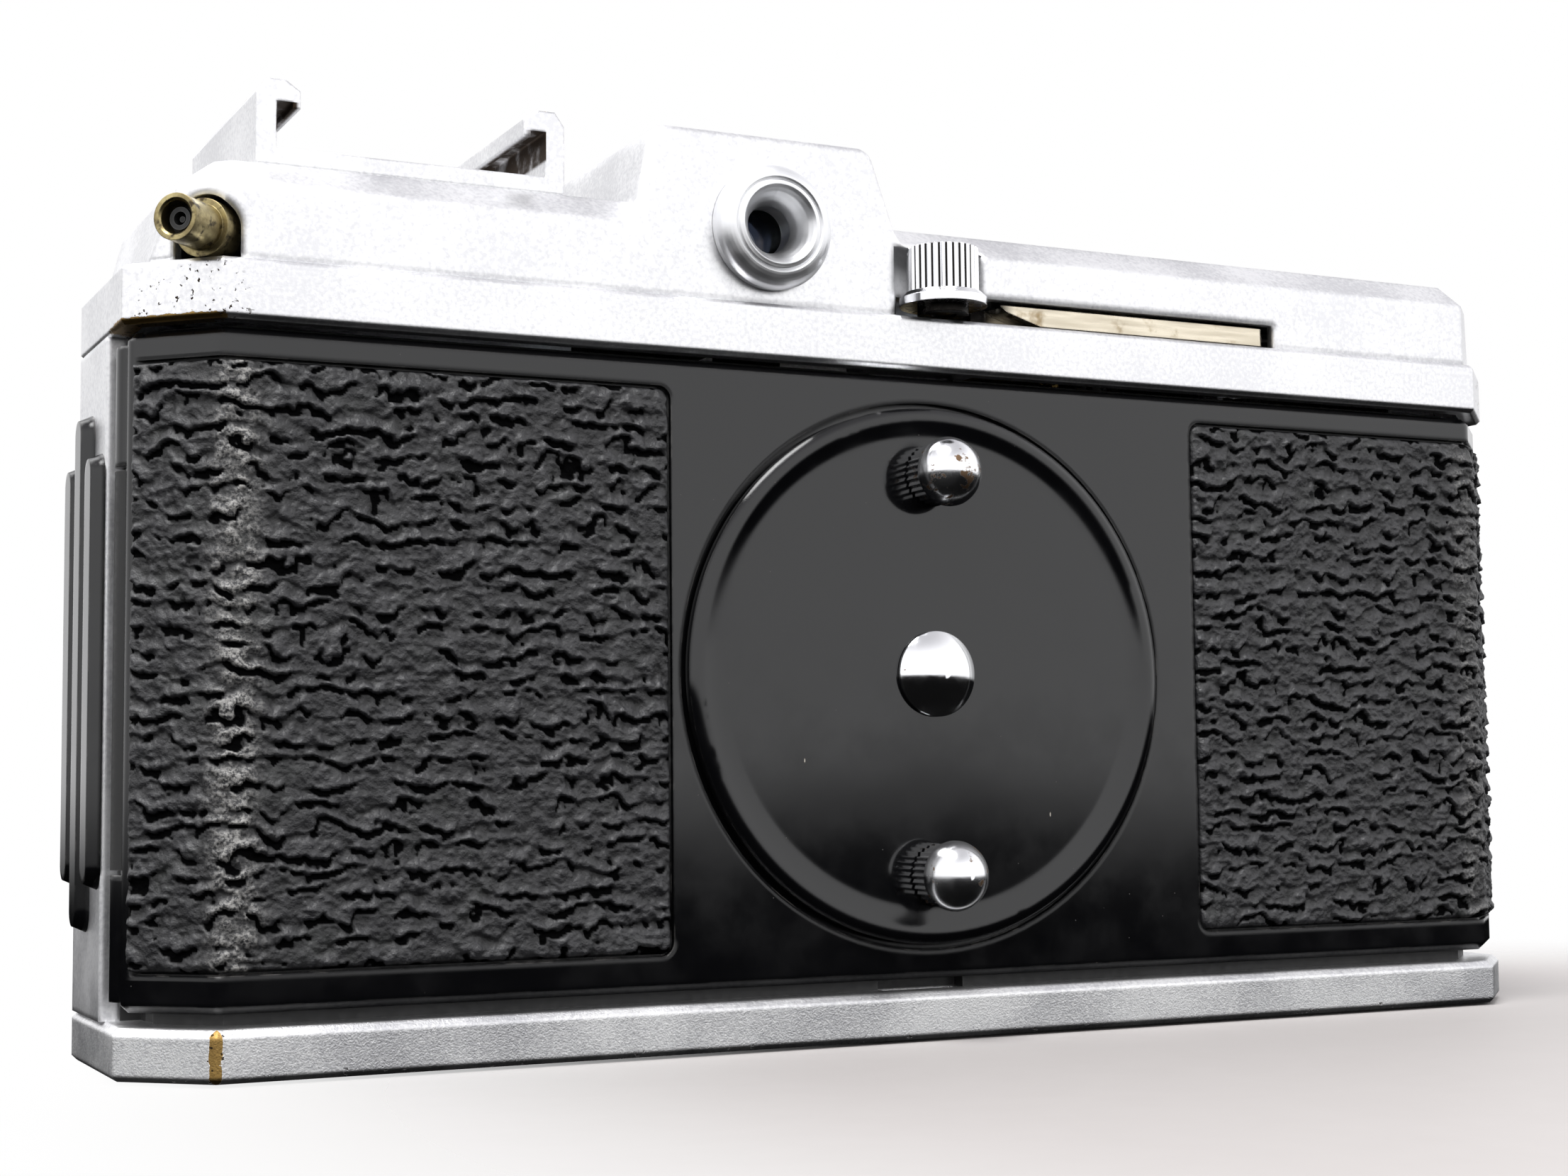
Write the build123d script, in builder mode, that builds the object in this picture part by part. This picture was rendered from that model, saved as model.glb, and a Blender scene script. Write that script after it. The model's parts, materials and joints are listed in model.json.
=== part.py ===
from build123d import *
import math
import os

os.makedirs("parts", exist_ok=True)

# Frame: origin in the mouth of the tripod socket, +Z up, +Y towards the back,
# +X towards the rewind end. Millimetres throughout.

# ---- driving dimensions -------------------------------------------------
HALF_WIDTH = 58.0
REAR = 15.0
FRONT = -15.0
REAR_CUT = (5.4, 5.2)     # corner cut at the back, along X and along Y
FRONT_CUT = (10.0, 10.2)  # corner cut at the front
INSET_SHRINK = 2 - math.sqrt(2)  # how much a corner cut shrinks per mm of inset

BASE_TOP = 3.4            # base plate
BAND_BOTTOM = 49.05       # chrome band above the door
BAND_TOP = 53.1
DECK = 60.1               # top of the top housing
HUMP_TOP = 65.6
DECK_BEVEL = 1.9
HOUSING_WALL = 1.0
HOUSING_REAR = REAR - 0.8

LENS_Z = 26.5             # height of the lens axis, film gate and lock disc
FILM_Y = 9.5              # film plane
CHAMBER_X, CHAMBER_Y, CHAMBER_R = 41.6, 0.3, 12.7
CHAMBER_Z = (4.6, 48.2)
TRACK_Z = (6.2, 46.8)     # film track between the chambers
CASTING_FRONT = FRONT + 1.4

DOOR_Z = (4.3, 48.6)
DOOR_OUTER, DOOR_INNER = 0.6, 2.4  # insets of the door's two faces
HINGE = (56.4, 7.4)
HINGE_R, PIN_R = 1.4, 0.7
KNUCKLE_Z = (13.4, 39.6)  # fixed middle knuckle
RUN = 0.05                # radial running clearance of a shaft in its hole

DISC_R = 19.7
PEG_Z = 14.7              # height of each peg above or below the disc centre
CAM_PIN_R = 2.6           # radius at which the cam pins drive the bolts
CAM_REST = -22.5          # resting angle of the cam pins

SPROCKET = (-24.1, 3.3)   # also the axis of the advance lever
IDLER = (-11.5, 0.1)
KNOB = (-1.4, 14.7)
EYEPIECE = (12.8, 58.7)   # X and Z of the finder axis
RANGE_WINDOW = (-14.0, 56.3)
RELEASE = (-19.5, -8.6)
MIRROR = (-14.0, 1.5)
GEAR_MODULE = 0.5


# ---- helpers --------------------------------------------------------------
def octagon(inset=0.0, half=HALF_WIDTH, rear=REAR, front=FRONT):
    """Corner points of the camera's plan, every side moved in by inset."""
    shrink = INSET_SHRINK * inset
    rear_x, rear_y = REAR_CUT[0] - shrink, REAR_CUT[1] - shrink
    front_x, front_y = FRONT_CUT[0] - shrink, FRONT_CUT[1] - shrink
    h, r, f = half - inset, rear - inset, front + inset
    return [
        (h - rear_x, r), (h, r - rear_y), (h, f + front_y), (h - front_x, f),
        (front_x - h, f), (-h, f + front_y), (-h, r - rear_y), (rear_x - h, r),
    ]


def plate(z0, z1, inset=0.0, mode=Mode.ADD, **sides):
    """Octagonal prism between two heights."""
    with BuildSketch(Plane.XY.offset(z0)) as outline:
        Polygon(*octagon(inset, **sides), align=None)
    extrude(outline.sketch, amount=z1 - z0, mode=mode)


def slab(x, y, z, mode=Mode.ADD):
    """Box given by its limits along each axis."""
    with BuildSketch(Plane.XY.offset(z[0])) as outline:
        with Locations(((x[0] + x[1]) / 2, (y[0] + y[1]) / 2)):
            Rectangle(x[1] - x[0], y[1] - y[0])
    extrude(outline.sketch, amount=z[1] - z[0], mode=mode)


def post(centre, radius, z0, z1, mode=Mode.ADD):
    """Upright cylinder between two heights."""
    with BuildSketch(Plane.XY.offset(z0)) as outline:
        with Locations(centre):
            Circle(radius)
    extrude(outline.sketch, amount=z1 - z0, mode=mode)


def barrel(radius, y0, y1, centre=(0.0, LENS_Z), mode=Mode.ADD):
    """Cylinder along the optical direction, from y0 back to y1 (y0 is nearer the front)."""
    with BuildSketch(Plane.XZ.offset(-y1)) as outline:
        with Locations(centre):
            Circle(radius)
    extrude(outline.sketch, amount=y1 - y0, mode=mode)


def knurl_points(radius, depth, count):
    """Closed zigzag outline of a knurled rim."""
    points = []
    for k in range(2 * count):
        r = radius if k % 2 == 0 else radius - depth
        angle = math.pi * k / count
        points.append((r * math.cos(angle), r * math.sin(angle)))
    return points


def gear_points(teeth, turn=0.0):
    """Outline of a slack straight-sided gear; turn is the angle of its first tooth."""
    pitch_r = GEAR_MODULE * teeth / 2
    root, tip = pitch_r - 0.62, pitch_r + 0.42
    step = 2 * math.pi / teeth
    points = []
    for k in range(teeth):
        centre = math.radians(turn) + k * step
        for r, half in ((root, 0.23), (tip, 0.11), (tip, -0.11), (root, -0.23)):
            angle = centre - half * step
            points.append((r * math.cos(angle), r * math.sin(angle)))
    return points


def gear(centre, teeth, z0, z1, turn=0.0):
    """Spur gear added to the current part."""
    with BuildSketch(Plane.XY.offset(z0)) as outline:
        with Locations(centre):
            Polygon(*gear_points(teeth, turn), align=None)
    extrude(outline.sketch, amount=z1 - z0)


def mesh_turn(driver, driven, driver_teeth, driven_teeth, driver_turn):
    """Angle of the driven gear's first tooth, so that a gap faces the driver's tooth."""
    line = math.degrees(math.atan2(driven[1] - driver[1], driven[0] - driver[0]))
    phase = (line - driver_turn) * driver_teeth / 360
    return line + 180 + (phase + 0.5) * 360 / driven_teeth


def save(name, part):
    part.label = name
    export_step(part, f"parts/{name}.step")


# ---- base plate and its fittings -------------------------------------------
SCREW_SPOTS = [(-52.5, -6.0), (52.5, -6.0), (-22.0, -10.5), (22.0, -10.5)]
SCREW_TOPS = [4.5, 4.5, 7.4, 7.4]
BUSH_R = 6.5
SOCKET_R = 3.2

with BuildPart() as base_plate:
    plate(0.0, BASE_TOP)
    chamfer(base_plate.faces().sort_by(Axis.Z)[-1].edges(), 0.45)
    chamfer(base_plate.faces().sort_by(Axis.Z)[0].edges(), 0.35)
    post((0, 0), BUSH_R, 0.0, BASE_TOP, Mode.SUBTRACT)
    post((CHAMBER_X, CHAMBER_Y), 10.0, 0.0, 2.2, Mode.SUBTRACT)
    post((CHAMBER_X, CHAMBER_Y), 2.0, 2.2, BASE_TOP, Mode.SUBTRACT)
    post(SPROCKET, 2.1, 0.0, BASE_TOP, Mode.SUBTRACT)
    slab((-3.2, 3.2), (11.0, 12.4), (2.6, BASE_TOP), Mode.SUBTRACT)
    for spot in SCREW_SPOTS:
        post(spot, 1.9, 0.0, 1.2, Mode.SUBTRACT)
        post(spot, 0.95, 1.2, BASE_TOP, Mode.SUBTRACT)
save("base_plate", base_plate.part)

with BuildPart() as tripod_bush:
    post((0, 0), BUSH_R, 0.1, 4.4)
    post((0, 0), 5.2, 4.4, 8.0)
    post((0, 0), SOCKET_R, 0.1, 7.2, Mode.SUBTRACT)
    chamfer(tripod_bush.edges().filter_by(GeomType.CIRCLE).group_by(Axis.Z)[0], 0.25)
save("tripod_bush", tripod_bush.part)

with BuildPart() as base_screws:
    for spot, top in zip(SCREW_SPOTS, SCREW_TOPS):
        post(spot, 1.8, 0.2, 1.2)
        post(spot, 0.95, 1.2, top)
        slab((spot[0] - 1.9, spot[0] + 1.9), (spot[1] - 0.25, spot[1] + 0.25), (0.1, 0.6), Mode.SUBTRACT)
save("base_screws", base_screws.part)

# ---- body casting -----------------------------------------------------------
END_PLATE_REAR = 4.9      # the end plates stop here and leave room for the hinge
TUNNEL_HALF = 19.0        # half width of the casting's middle, round the light tunnel
TUNNEL_RISE = 12.3        # half height of the light tunnel

with BuildPart() as whole_casting:
    plate(BASE_TOP, BAND_BOTTOM, 1.4)
    slab((-60, 60), (END_PLATE_REAR, 20), (0, 60), Mode.SUBTRACT)
    with BuildSketch(Plane.XY.offset(BASE_TOP)):
        Polygon(*octagon(2.8), align=None)
        with Locations((0, -20 + END_PLATE_REAR)):
            Rectangle(140, 40, mode=Mode.SUBTRACT)
    extrude(amount=BAND_BOTTOM - BASE_TOP)
    for side in (-1, 1):
        post((side * CHAMBER_X, CHAMBER_Y), CHAMBER_R, *CHAMBER_Z, Mode.SUBTRACT)
        slab(sorted((side * (CHAMBER_X - CHAMBER_R), side * (CHAMBER_X + CHAMBER_R))),
             (CHAMBER_Y, 20), CHAMBER_Z, Mode.SUBTRACT)
    # film track between the chambers, open to the back
    slab((CHAMBER_R - CHAMBER_X, CHAMBER_X - CHAMBER_R), (FILM_Y - 1.1, 20), TRACK_Z, Mode.SUBTRACT)
    # light tunnel from the lens to the film gate
    with BuildSketch(Plane.XZ.offset(1.1 - FILM_Y)):
        with Locations((0, LENS_Z)):
            Rectangle(36.6, 2 * TUNNEL_RISE)
    with BuildSketch(Plane.XZ.offset(-CASTING_FRONT)):
        with Locations((0, LENS_Z)):
            Rectangle(23.0, 2 * TUNNEL_RISE)
    loft(mode=Mode.SUBTRACT)
    # pocket of the sprocket, open to the film track, and the lightening pocket on the rewind side
    post(SPROCKET, 6.9, *TRACK_Z, Mode.SUBTRACT)
    slab((CHAMBER_R - CHAMBER_X, -TUNNEL_HALF), (6.5, FILM_Y), TRACK_Z, Mode.SUBTRACT)
    slab((19.6, 27.4), (-11.0, 6.6), (8.0, 50), Mode.SUBTRACT)
    # fixed middle knuckle of the hinge
    post(HINGE, HINGE_R + 0.25, 0, 60, Mode.SUBTRACT)
    post(HINGE, HINGE_R, *KNUCKLE_Z)
    slab((HINGE[0] - 2.0, HINGE[0]), (HINGE[1] - 1.0, HINGE[1] + 1.0), KNUCKLE_Z)
    post(HINGE, PIN_R, 0, 60, Mode.SUBTRACT)
    # notches in the top and bottom rails for the lock bolts
    slab((-3.6, 3.6), (10.9, 20), (0, 60), Mode.SUBTRACT)
    # shaft holes, bush seat and tapped holes
    post(SPROCKET, 1.5, 0, 60, Mode.SUBTRACT)
    post((-CHAMBER_X, CHAMBER_Y), 2.0, 0, 60, Mode.SUBTRACT)
    post((CHAMBER_X, CHAMBER_Y), 2.0, 0, 10, Mode.SUBTRACT)
    post(IDLER, 1.0, TRACK_Z[1], 60, Mode.SUBTRACT)
    post(RELEASE, 1.25, 43.0, 60, Mode.SUBTRACT)
    post((0, 0), BUSH_R, 0, 4.4, Mode.SUBTRACT)
    post((0, 0), 5.2, 4.4, 8.0, Mode.SUBTRACT)
    for spot, top in zip(SCREW_SPOTS, SCREW_TOPS):
        post(spot, 0.95, 0, top, Mode.SUBTRACT)

# The casting is one piece of metal, kept as simple solids that meet face to face: the walls round
# the two film chambers, the floor and roof, and the four walls of the light tunnel between them.
with BuildPart() as film_bays:
    add(whole_casting.part)
    slab((-60, 60), (-20, 20), TRACK_Z, Mode.INTERSECT)
    slab((-TUNNEL_HALF, TUNNEL_HALF), (-20, 20), TRACK_Z, Mode.SUBTRACT)
save("film_bays", film_bays.part)

tunnel_z = (LENS_Z - TUNNEL_RISE, LENS_Z + TUNNEL_RISE)
casting_layers = []
for low, high, half in ((BASE_TOP, TRACK_Z[0], 60), (TRACK_Z[0], tunnel_z[0], TUNNEL_HALF),
                        (*tunnel_z, TUNNEL_HALF), (tunnel_z[1], TRACK_Z[1], TUNNEL_HALF),
                        (TRACK_Z[1], BAND_BOTTOM, 60)):
    with BuildPart() as layer:
        add(whole_casting.part)
        slab((-half, half), (-20, 20), (low, high), Mode.INTERSECT)
    casting_layers += layer.part.solids()
save("body_casting", Compound(casting_layers))

with BuildPart() as end_plates:
    plate(BASE_TOP, BAND_BOTTOM)
    plate(BASE_TOP, BAND_BOTTOM, 1.4, Mode.SUBTRACT)
    slab((-60, 60), (END_PLATE_REAR, 20), (0, 60), Mode.SUBTRACT)
    slab((-47.9, 47.9), (-20, 20), (0, 60), Mode.SUBTRACT)
save("end_plates", end_plates.part)

RIBS = [(0.3, 9.0, 44.4), (4.1, 12.0, 41.3), (-3.5, 12.0, 41.3)]

with BuildPart() as end_ribs:
    for side in (-1, 1):
        for y, low, high in RIBS:
            with BuildSketch(Plane.YZ.offset(side * HALF_WIDTH)):
                with Locations((y - 0.6, (low + high) / 2)):
                    SlotOverall(high - low, 3.0, rotation=90)
            extrude(amount=side * 0.9, taper=25)
save("end_ribs", end_ribs.part)

with BuildPart() as front_leather:
    slab((-47.6, 47.6), (CASTING_FRONT - 1.0, CASTING_FRONT), (BASE_TOP + 0.5, BAND_BOTTOM - 0.5))
    barrel(21.0, -20, 0, mode=Mode.SUBTRACT)
save("front_leather", front_leather.part)

# ---- film gate ---------------------------------------------------------------
with BuildPart() as film_gate:
    slab((-19.2, 28.0), (FILM_Y - 1.1, FILM_Y - 0.3), (7.0, 46.0))
    for z in (LENS_Z - 13.4, LENS_Z + 13.4):
        slab((-19.2, 28.0), (FILM_Y - 0.3, FILM_Y), (z - 0.9, z + 0.9))
    for z in (LENS_Z - 18.2, LENS_Z + 18.2):
        slab((-19.2, 28.0), (FILM_Y - 0.3, FILM_Y + 0.2), (z - 0.6, z + 0.6))
    slab((-18, 18), (0, 20), (LENS_Z - 12, LENS_Z + 12), Mode.SUBTRACT)
save("film_gate", film_gate.part)

# ---- band and top housing ----------------------------------------------------
with BuildPart() as top_band:
    plate(BAND_BOTTOM, BAND_TOP)
    chamfer(top_band.faces().sort_by(Axis.Z)[-1].edges(), 0.3)
    chamfer(top_band.faces().sort_by(Axis.Z)[0].edges(), 0.3)
    plate(BAND_BOTTOM, BAND_TOP, 1.5, Mode.SUBTRACT)
    # ledge that the lock bolt enters
    slab((-4.5, 4.5), (10.2, REAR - 1.4), (BAND_BOTTOM, 51.4))
    slab((-3.2, 3.2), (11.0, 12.4), (BAND_BOTTOM, 51.0), Mode.SUBTRACT)
save("top_band", top_band.part)

END_SLOPE = 0.3
HOUSING_END = HALF_WIDTH - 1.6
HUMP_BASE = (1.8, 23.4)   # where the hump's flanks would meet the foot of the bevel
HUMP_PEAK = (4.4, 21.9)
FLARE_Z = DECK - DECK_BEVEL


def housing_ends(z0, z1, inset):
    """Trapezium that slopes both ends of the housing inwards, kept as an intersection."""
    low, high = HOUSING_END - inset, HOUSING_END - inset - END_SLOPE * (z1 - z0)
    with BuildSketch(Plane.XZ.offset(-30)) as outline:
        Polygon((-low, z0), (low, z0), (high, z1), (-high, z1), align=None)
    extrude(outline.sketch, amount=60, mode=Mode.INTERSECT)


def hump(inset, front, rear, floor, mode=Mode.ADD):
    """Finder hump with flared foot, all outlines moved in by inset."""
    left, right = HUMP_BASE[0] + inset, HUMP_BASE[1] - inset
    peak = (HUMP_PEAK[0] + inset, HUMP_PEAK[1] - inset)
    foot, top = FLARE_Z - inset, HUMP_TOP - inset
    with BuildSketch(Plane.XZ.offset(-rear)) as profile:
        Polygon((left - 8, floor), (left - 8, foot), (left, foot), (peak[0], top),
                (peak[1], top), (right, foot), (right + 8, foot), (right + 8, floor), align=None)
        corners = profile.vertices().group_by(Axis.Y)
        fillet(corners[-1], 1.4)
        fillet(profile.vertices().group_by(Axis.Y)[1].sort_by(Axis.X)[1:3], 2.4)
    extrude(profile.sketch, amount=rear - front, mode=mode)


SCOOP = (KNOB[0], KNOB[1] + 0.4)  # axis of the finger scoop behind the lever knob
SCOOP_R = 4.0
SLOT_Z = BAND_TOP + 2.0
SLOT_X = (-32.6, 1.2)
FINDER_X, FINDER_Z = (7.6, 18.4), (58.4, 63.6)  # finder window opening
RANGE_SIZE = (4.4, 2.8)
COUNTER_SPOT = (-CHAMBER_X, -5.6)
SHOE_X, SHOE_Y = (27.9, 49.8), (-7.0, 12.2)
SHOE_SCREWS = [(33.9, -2.6), (43.8, -2.6), (33.9, 8.0), (43.8, 8.0)]
FLASH_ARCH_R = 2.3
FLASH_PLANE = Plane(origin=(53.4, 13.15, 55.15), x_dir=(-0.722, 0.692, 0), z_dir=(0.692, 0.722, 0))

with BuildPart() as housing_core:
    plate(BAND_TOP, DECK - HOUSING_WALL, 0.8 + HOUSING_WALL)
    housing_ends(BAND_TOP, DECK - HOUSING_WALL, HOUSING_WALL)
    chamfer(housing_core.faces().sort_by(Axis.Z)[-1].edges(), DECK_BEVEL - 0.5)
    hump(HOUSING_WALL, HOUSING_WALL - HOUSING_REAR, HOUSING_REAR - HOUSING_WALL, BAND_TOP + 1)
    post(SCOOP, SCOOP_R + HOUSING_WALL, BAND_TOP, FLARE_Z + 1.2, Mode.SUBTRACT)

with BuildPart() as top_housing:
    plate(BAND_TOP, DECK, 0.8)
    housing_ends(BAND_TOP, DECK, 0.0)
    chamfer(top_housing.faces().sort_by(Axis.Z)[-1].edges(), DECK_BEVEL)
    hump(0.0, -HOUSING_REAR, HOUSING_REAR, BAND_TOP + 1)
    top_edges = top_housing.faces().sort_by(Axis.Z)[-1].edges().filter_by(Axis.X)
    fillet(top_edges, 0.5)
    add(housing_core.part, mode=Mode.SUBTRACT)
    # finger scoop and the slot that the advance lever swings out of
    post(SCOOP, SCOOP_R, BAND_TOP, FLARE_Z + 0.2, Mode.SUBTRACT)
    slab(SLOT_X, (9.0, 20), (BAND_TOP, SLOT_Z), Mode.SUBTRACT)
    # finder, rangefinder and eyepiece openings
    slab(FINDER_X, (-20, -10), FINDER_Z, Mode.SUBTRACT)
    slab((RANGE_WINDOW[0] - RANGE_SIZE[0] / 2, RANGE_WINDOW[0] + RANGE_SIZE[0] / 2), (-20, -10),
         (RANGE_WINDOW[1] - RANGE_SIZE[1] / 2, RANGE_WINDOW[1] + RANGE_SIZE[1] / 2), Mode.SUBTRACT)
    barrel(3.5, 10, 20, EYEPIECE, Mode.SUBTRACT)
    # deck: counter window, release collar and its hole, shoe screws
    post(COUNTER_SPOT, 2.4, 55, 65, Mode.SUBTRACT)
    post(RELEASE, 3.4, DECK, DECK + 0.9)
    post(RELEASE, 2.55, 55, 65, Mode.SUBTRACT)
    for spot in SHOE_SCREWS:
        post(spot, 0.7, 55, 65, Mode.SUBTRACT)
    # stud that the frame counter turns on, and the boss that carries the mirror
    post((-CHAMBER_X, CHAMBER_Y), 1.2, 56.9, DECK - HOUSING_WALL)
    post(MIRROR, 2.2, 58.45, DECK - HOUSING_WALL)
    post(MIRROR, 0.8 + RUN, 58.0, DECK - HOUSING_WALL, Mode.SUBTRACT)
    # arched opening for the flash socket
    with BuildSketch(FLASH_PLANE.offset(-3)) as arch:
        Circle(FLASH_ARCH_R)
        with Locations((0, -FLASH_ARCH_R)):
            Rectangle(2 * FLASH_ARCH_R, 2 * FLASH_ARCH_R)
    extrude(arch.sketch, amount=5, mode=Mode.SUBTRACT)
save("top_housing", top_housing.part)

# ---- accessory shoe -----------------------------------------------------------
SHOE_BASE, SHOE_TOP = 1.2, 66.0
RAIL, LIP, LIP_T = 1.4, 1.6, 1.5

with BuildPart() as accessory_shoe:
    slab(SHOE_X, SHOE_Y, (DECK, DECK + SHOE_BASE))
    for outer, inward in ((SHOE_X[0], 1), (SHOE_X[1], -1)):
        with BuildSketch(Plane.XZ.offset(-SHOE_Y[1])) as rail:
            Polygon((outer, DECK + SHOE_BASE), (outer, SHOE_TOP - 1.0), (outer + 0.7 * inward, SHOE_TOP),
                    (outer + (RAIL + 0.6) * inward, SHOE_TOP),
                    (outer + (RAIL + LIP) * inward, SHOE_TOP - 0.7),
                    (outer + (RAIL + LIP) * inward, SHOE_TOP - LIP_T - 0.4),
                    (outer + (RAIL + LIP - 0.5) * inward, SHOE_TOP - LIP_T - 0.4),
                    (outer + (RAIL + LIP - 0.5) * inward, SHOE_TOP - LIP_T),
                    (outer + RAIL * inward, SHOE_TOP - LIP_T),
                    (outer + RAIL * inward, DECK + SHOE_BASE), align=None)
        extrude(rail.sketch, amount=SHOE_Y[1] - SHOE_Y[0])
    for spot in SHOE_SCREWS:
        post(spot, 1.3, DECK + 0.5, 63, Mode.SUBTRACT)
        post(spot, 0.7, DECK, 63, Mode.SUBTRACT)
save("accessory_shoe", accessory_shoe.part)

with BuildPart() as shoe_screws:
    for spot in SHOE_SCREWS:
        post(spot, 1.25, DECK + 0.5, DECK + 1.1)
        post(spot, 0.7, 58.2, DECK + 0.5)
        slab((spot[0] - 1.3, spot[0] + 1.3), (spot[1] - 0.2, spot[1] + 0.2), (DECK + 0.8, 62), Mode.SUBTRACT)
save("shoe_screws", shoe_screws.part)

# ---- finder and rangefinder ----------------------------------------------------
with BuildPart() as eyepiece_ring:
    with BuildSketch(Plane.YZ.offset(EYEPIECE[0])) as ring_profile:
        with BuildLine():
            Polyline((12.6, 1.9), (12.6, 3.45), (14.25, 3.45), (14.25, 4.55), (14.9, 4.6))
            ThreePointArc((14.9, 4.6), (15.7, 4.2), (16.1, 3.5))
            Polyline((16.1, 3.5), (15.95, 3.35), (16.1, 3.2), (16.2, 2.9))
            ThreePointArc((16.2, 2.9), (15.3, 2.25), (14.0, 1.75))
            Polyline((14.0, 1.75), (12.6, 1.75), (12.6, 1.9))
        make_face()
    ring_sketch = Pos(0, 0, EYEPIECE[1]) * ring_profile.sketch
    revolve(ring_sketch, axis=Axis((EYEPIECE[0], 0, EYEPIECE[1]), (0, 1, 0)))
save("eyepiece_ring", eyepiece_ring.part)

with BuildPart() as finder_chassis:
    slab((8.0, 18.4), (-11.0, 11.0), (53.2, 54.2))
    for x in (8.0, 16.4):
        slab((x, x + 2.0), (-2.0, 6.0), (BAND_BOTTOM, 53.2))
    slab((11.3, 14.3), (6.0, 11.0), (54.2, 55.7))
    barrel(3.4, 6.0, 12.6, EYEPIECE)
    barrel(2.7, 0.0, 20.0, EYEPIECE, Mode.SUBTRACT)
save("finder_chassis", finder_chassis.part)

with BuildPart() as eyepiece_lens:
    barrel(2.7, 10.6, 11.8, EYEPIECE)
    fillet(eyepiece_lens.edges().sort_by(Axis.Y)[-1], 0.5)
save("eyepiece_lens", eyepiece_lens.part)

with BuildPart() as beam_splitter:
    with BuildSketch(Plane.XY.offset(54.2)) as tilted:
        with Locations(Location((EYEPIECE[0], MIRROR[1], 0), (0, 0, 45))):
            Rectangle(8.0, 0.8)
    extrude(tilted.sketch, amount=8.6)
save("beam_splitter", beam_splitter.part)

WINDOWS = [(FINDER_X, FINDER_Z),
           ((RANGE_WINDOW[0] - 2.2, RANGE_WINDOW[0] + 2.2), (RANGE_WINDOW[1] - 1.4, RANGE_WINDOW[1] + 1.4))]

with BuildPart() as window_frames:
    for (x0, x1), (z0, z1) in WINDOWS:
        slab((x0 - 0.7, x1 + 0.7), (-HOUSING_REAR - 0.6, -HOUSING_REAR), (z0 - 0.7, z1 + 0.7))
        slab((x0, x1), (-20, -10), (z0, z1), Mode.SUBTRACT)
    chamfer(window_frames.faces().filter_by_position(Axis.Y, -14.9, -14.7).edges(), 0.25)
save("window_frames", window_frames.part)

with BuildPart() as window_glass:
    for (x0, x1), (z0, z1) in WINDOWS:
        slab((x0, x1), (-HOUSING_REAR, 0.8 - HOUSING_REAR), (z0, z1))
    post(COUNTER_SPOT, 2.4, DECK - HOUSING_WALL, DECK - 0.1)
save("window_glass", window_glass.part)

with BuildPart() as range_mirror:
    with BuildSketch(Plane.XY.offset(54.4)) as tilted:
        with Locations(Location((MIRROR[0], MIRROR[1], 0), (0, 0, 45))):
            Rectangle(5.6, 0.8)
    extrude(tilted.sketch, amount=3.4)
    post(MIRROR, 2.4, 57.8, 58.3)
    post(MIRROR, 0.8, 58.3, 59.0)
save("range_mirror", range_mirror.part)

# ---- flash socket ---------------------------------------------------------------
def flash_disc(radius, start, end, mode=Mode.ADD):
    """Disc on the socket's axis, between two distances from the housing's corner face."""
    with BuildSketch(FLASH_PLANE.offset(start)) as outline:
        Circle(radius)
    extrude(outline.sketch, amount=end - start, mode=mode)


with BuildPart() as flash_barrel:
    flash_disc(1.55, -2.6, 3.5)
    flash_disc(1.95, -1.6, 0.3)
    flash_disc(1.1, 0.2, 10, Mode.SUBTRACT)
    outward = Axis((0, 0, 0), (0.692, 0.722, 0))
    chamfer(flash_barrel.edges().filter_by(GeomType.CIRCLE).sort_by(outward)[-1], 0.15)
save("flash_barrel", flash_barrel.part)

with BuildPart() as flash_contact:
    flash_disc(1.1, 0.2, 2.0)
    flash_disc(0.75, 2.0, 2.9)
    flash_disc(0.45, 1.0, 10, Mode.SUBTRACT)
    flash_disc(0.2, 1.0, 2.6)
save("flash_contact", flash_contact.part)

# ---- lens and shutter -------------------------------------------------------------
FLANGE_Y = -17.0
SHUTTER_R = 22.0
RING_R = 23.3             # speed and aperture rings
SHUTTER_FACE_Y = -27.0
LENS_BARREL_R = 14.5

with BuildPart() as lens_flange:
    barrel(20.4, FLANGE_Y, CASTING_FRONT)
    barrel(11.4, -30, 0, mode=Mode.SUBTRACT)
    front_rims = lens_flange.edges().filter_by(GeomType.CIRCLE).group_by(Axis.Y)[0]
    chamfer(front_rims.sort_by(SortBy.RADIUS)[-1], 0.4)
save("lens_flange", lens_flange.part)

with BuildPart() as shutter_housing:
    barrel(SHUTTER_R, SHUTTER_FACE_Y, FLANGE_Y)
    barrel(18.0, -40, -22.4, mode=Mode.SUBTRACT)
    barrel(12.7, -22.4, FLANGE_Y - 1.2, mode=Mode.SUBTRACT)
    barrel(10.0, -40, 0, mode=Mode.SUBTRACT)
save("shutter_housing", shutter_housing.part)

with BuildPart() as shutter_face:
    barrel(22.9, SHUTTER_FACE_Y - 0.9, SHUTTER_FACE_Y)
    chamfer(shutter_face.edges().filter_by(GeomType.CIRCLE).group_by(Axis.Y)[0], 0.3)
    barrel(LENS_BARREL_R, -40, 0, mode=Mode.SUBTRACT)
save("shutter_face", shutter_face.part)


def control_ring(y0, y1, inner, outer, count, depth):
    """Knurled ring about the lens axis with plain lands at both edges."""
    with BuildSketch(Plane.XZ.offset(-y1)) as land:
        with Locations((0, LENS_Z)):
            Circle(outer - depth)
            Circle(inner, mode=Mode.SUBTRACT)
    extrude(land.sketch, amount=y1 - y0)
    with BuildSketch(Plane.XZ.offset(0.6 - y1)) as rim:
        with Locations((0, LENS_Z)):
            Polygon(*knurl_points(outer, depth, count), align=None)
            Circle(inner, mode=Mode.SUBTRACT)
    extrude(rim.sketch, amount=y1 - y0 - 1.2)


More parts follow.
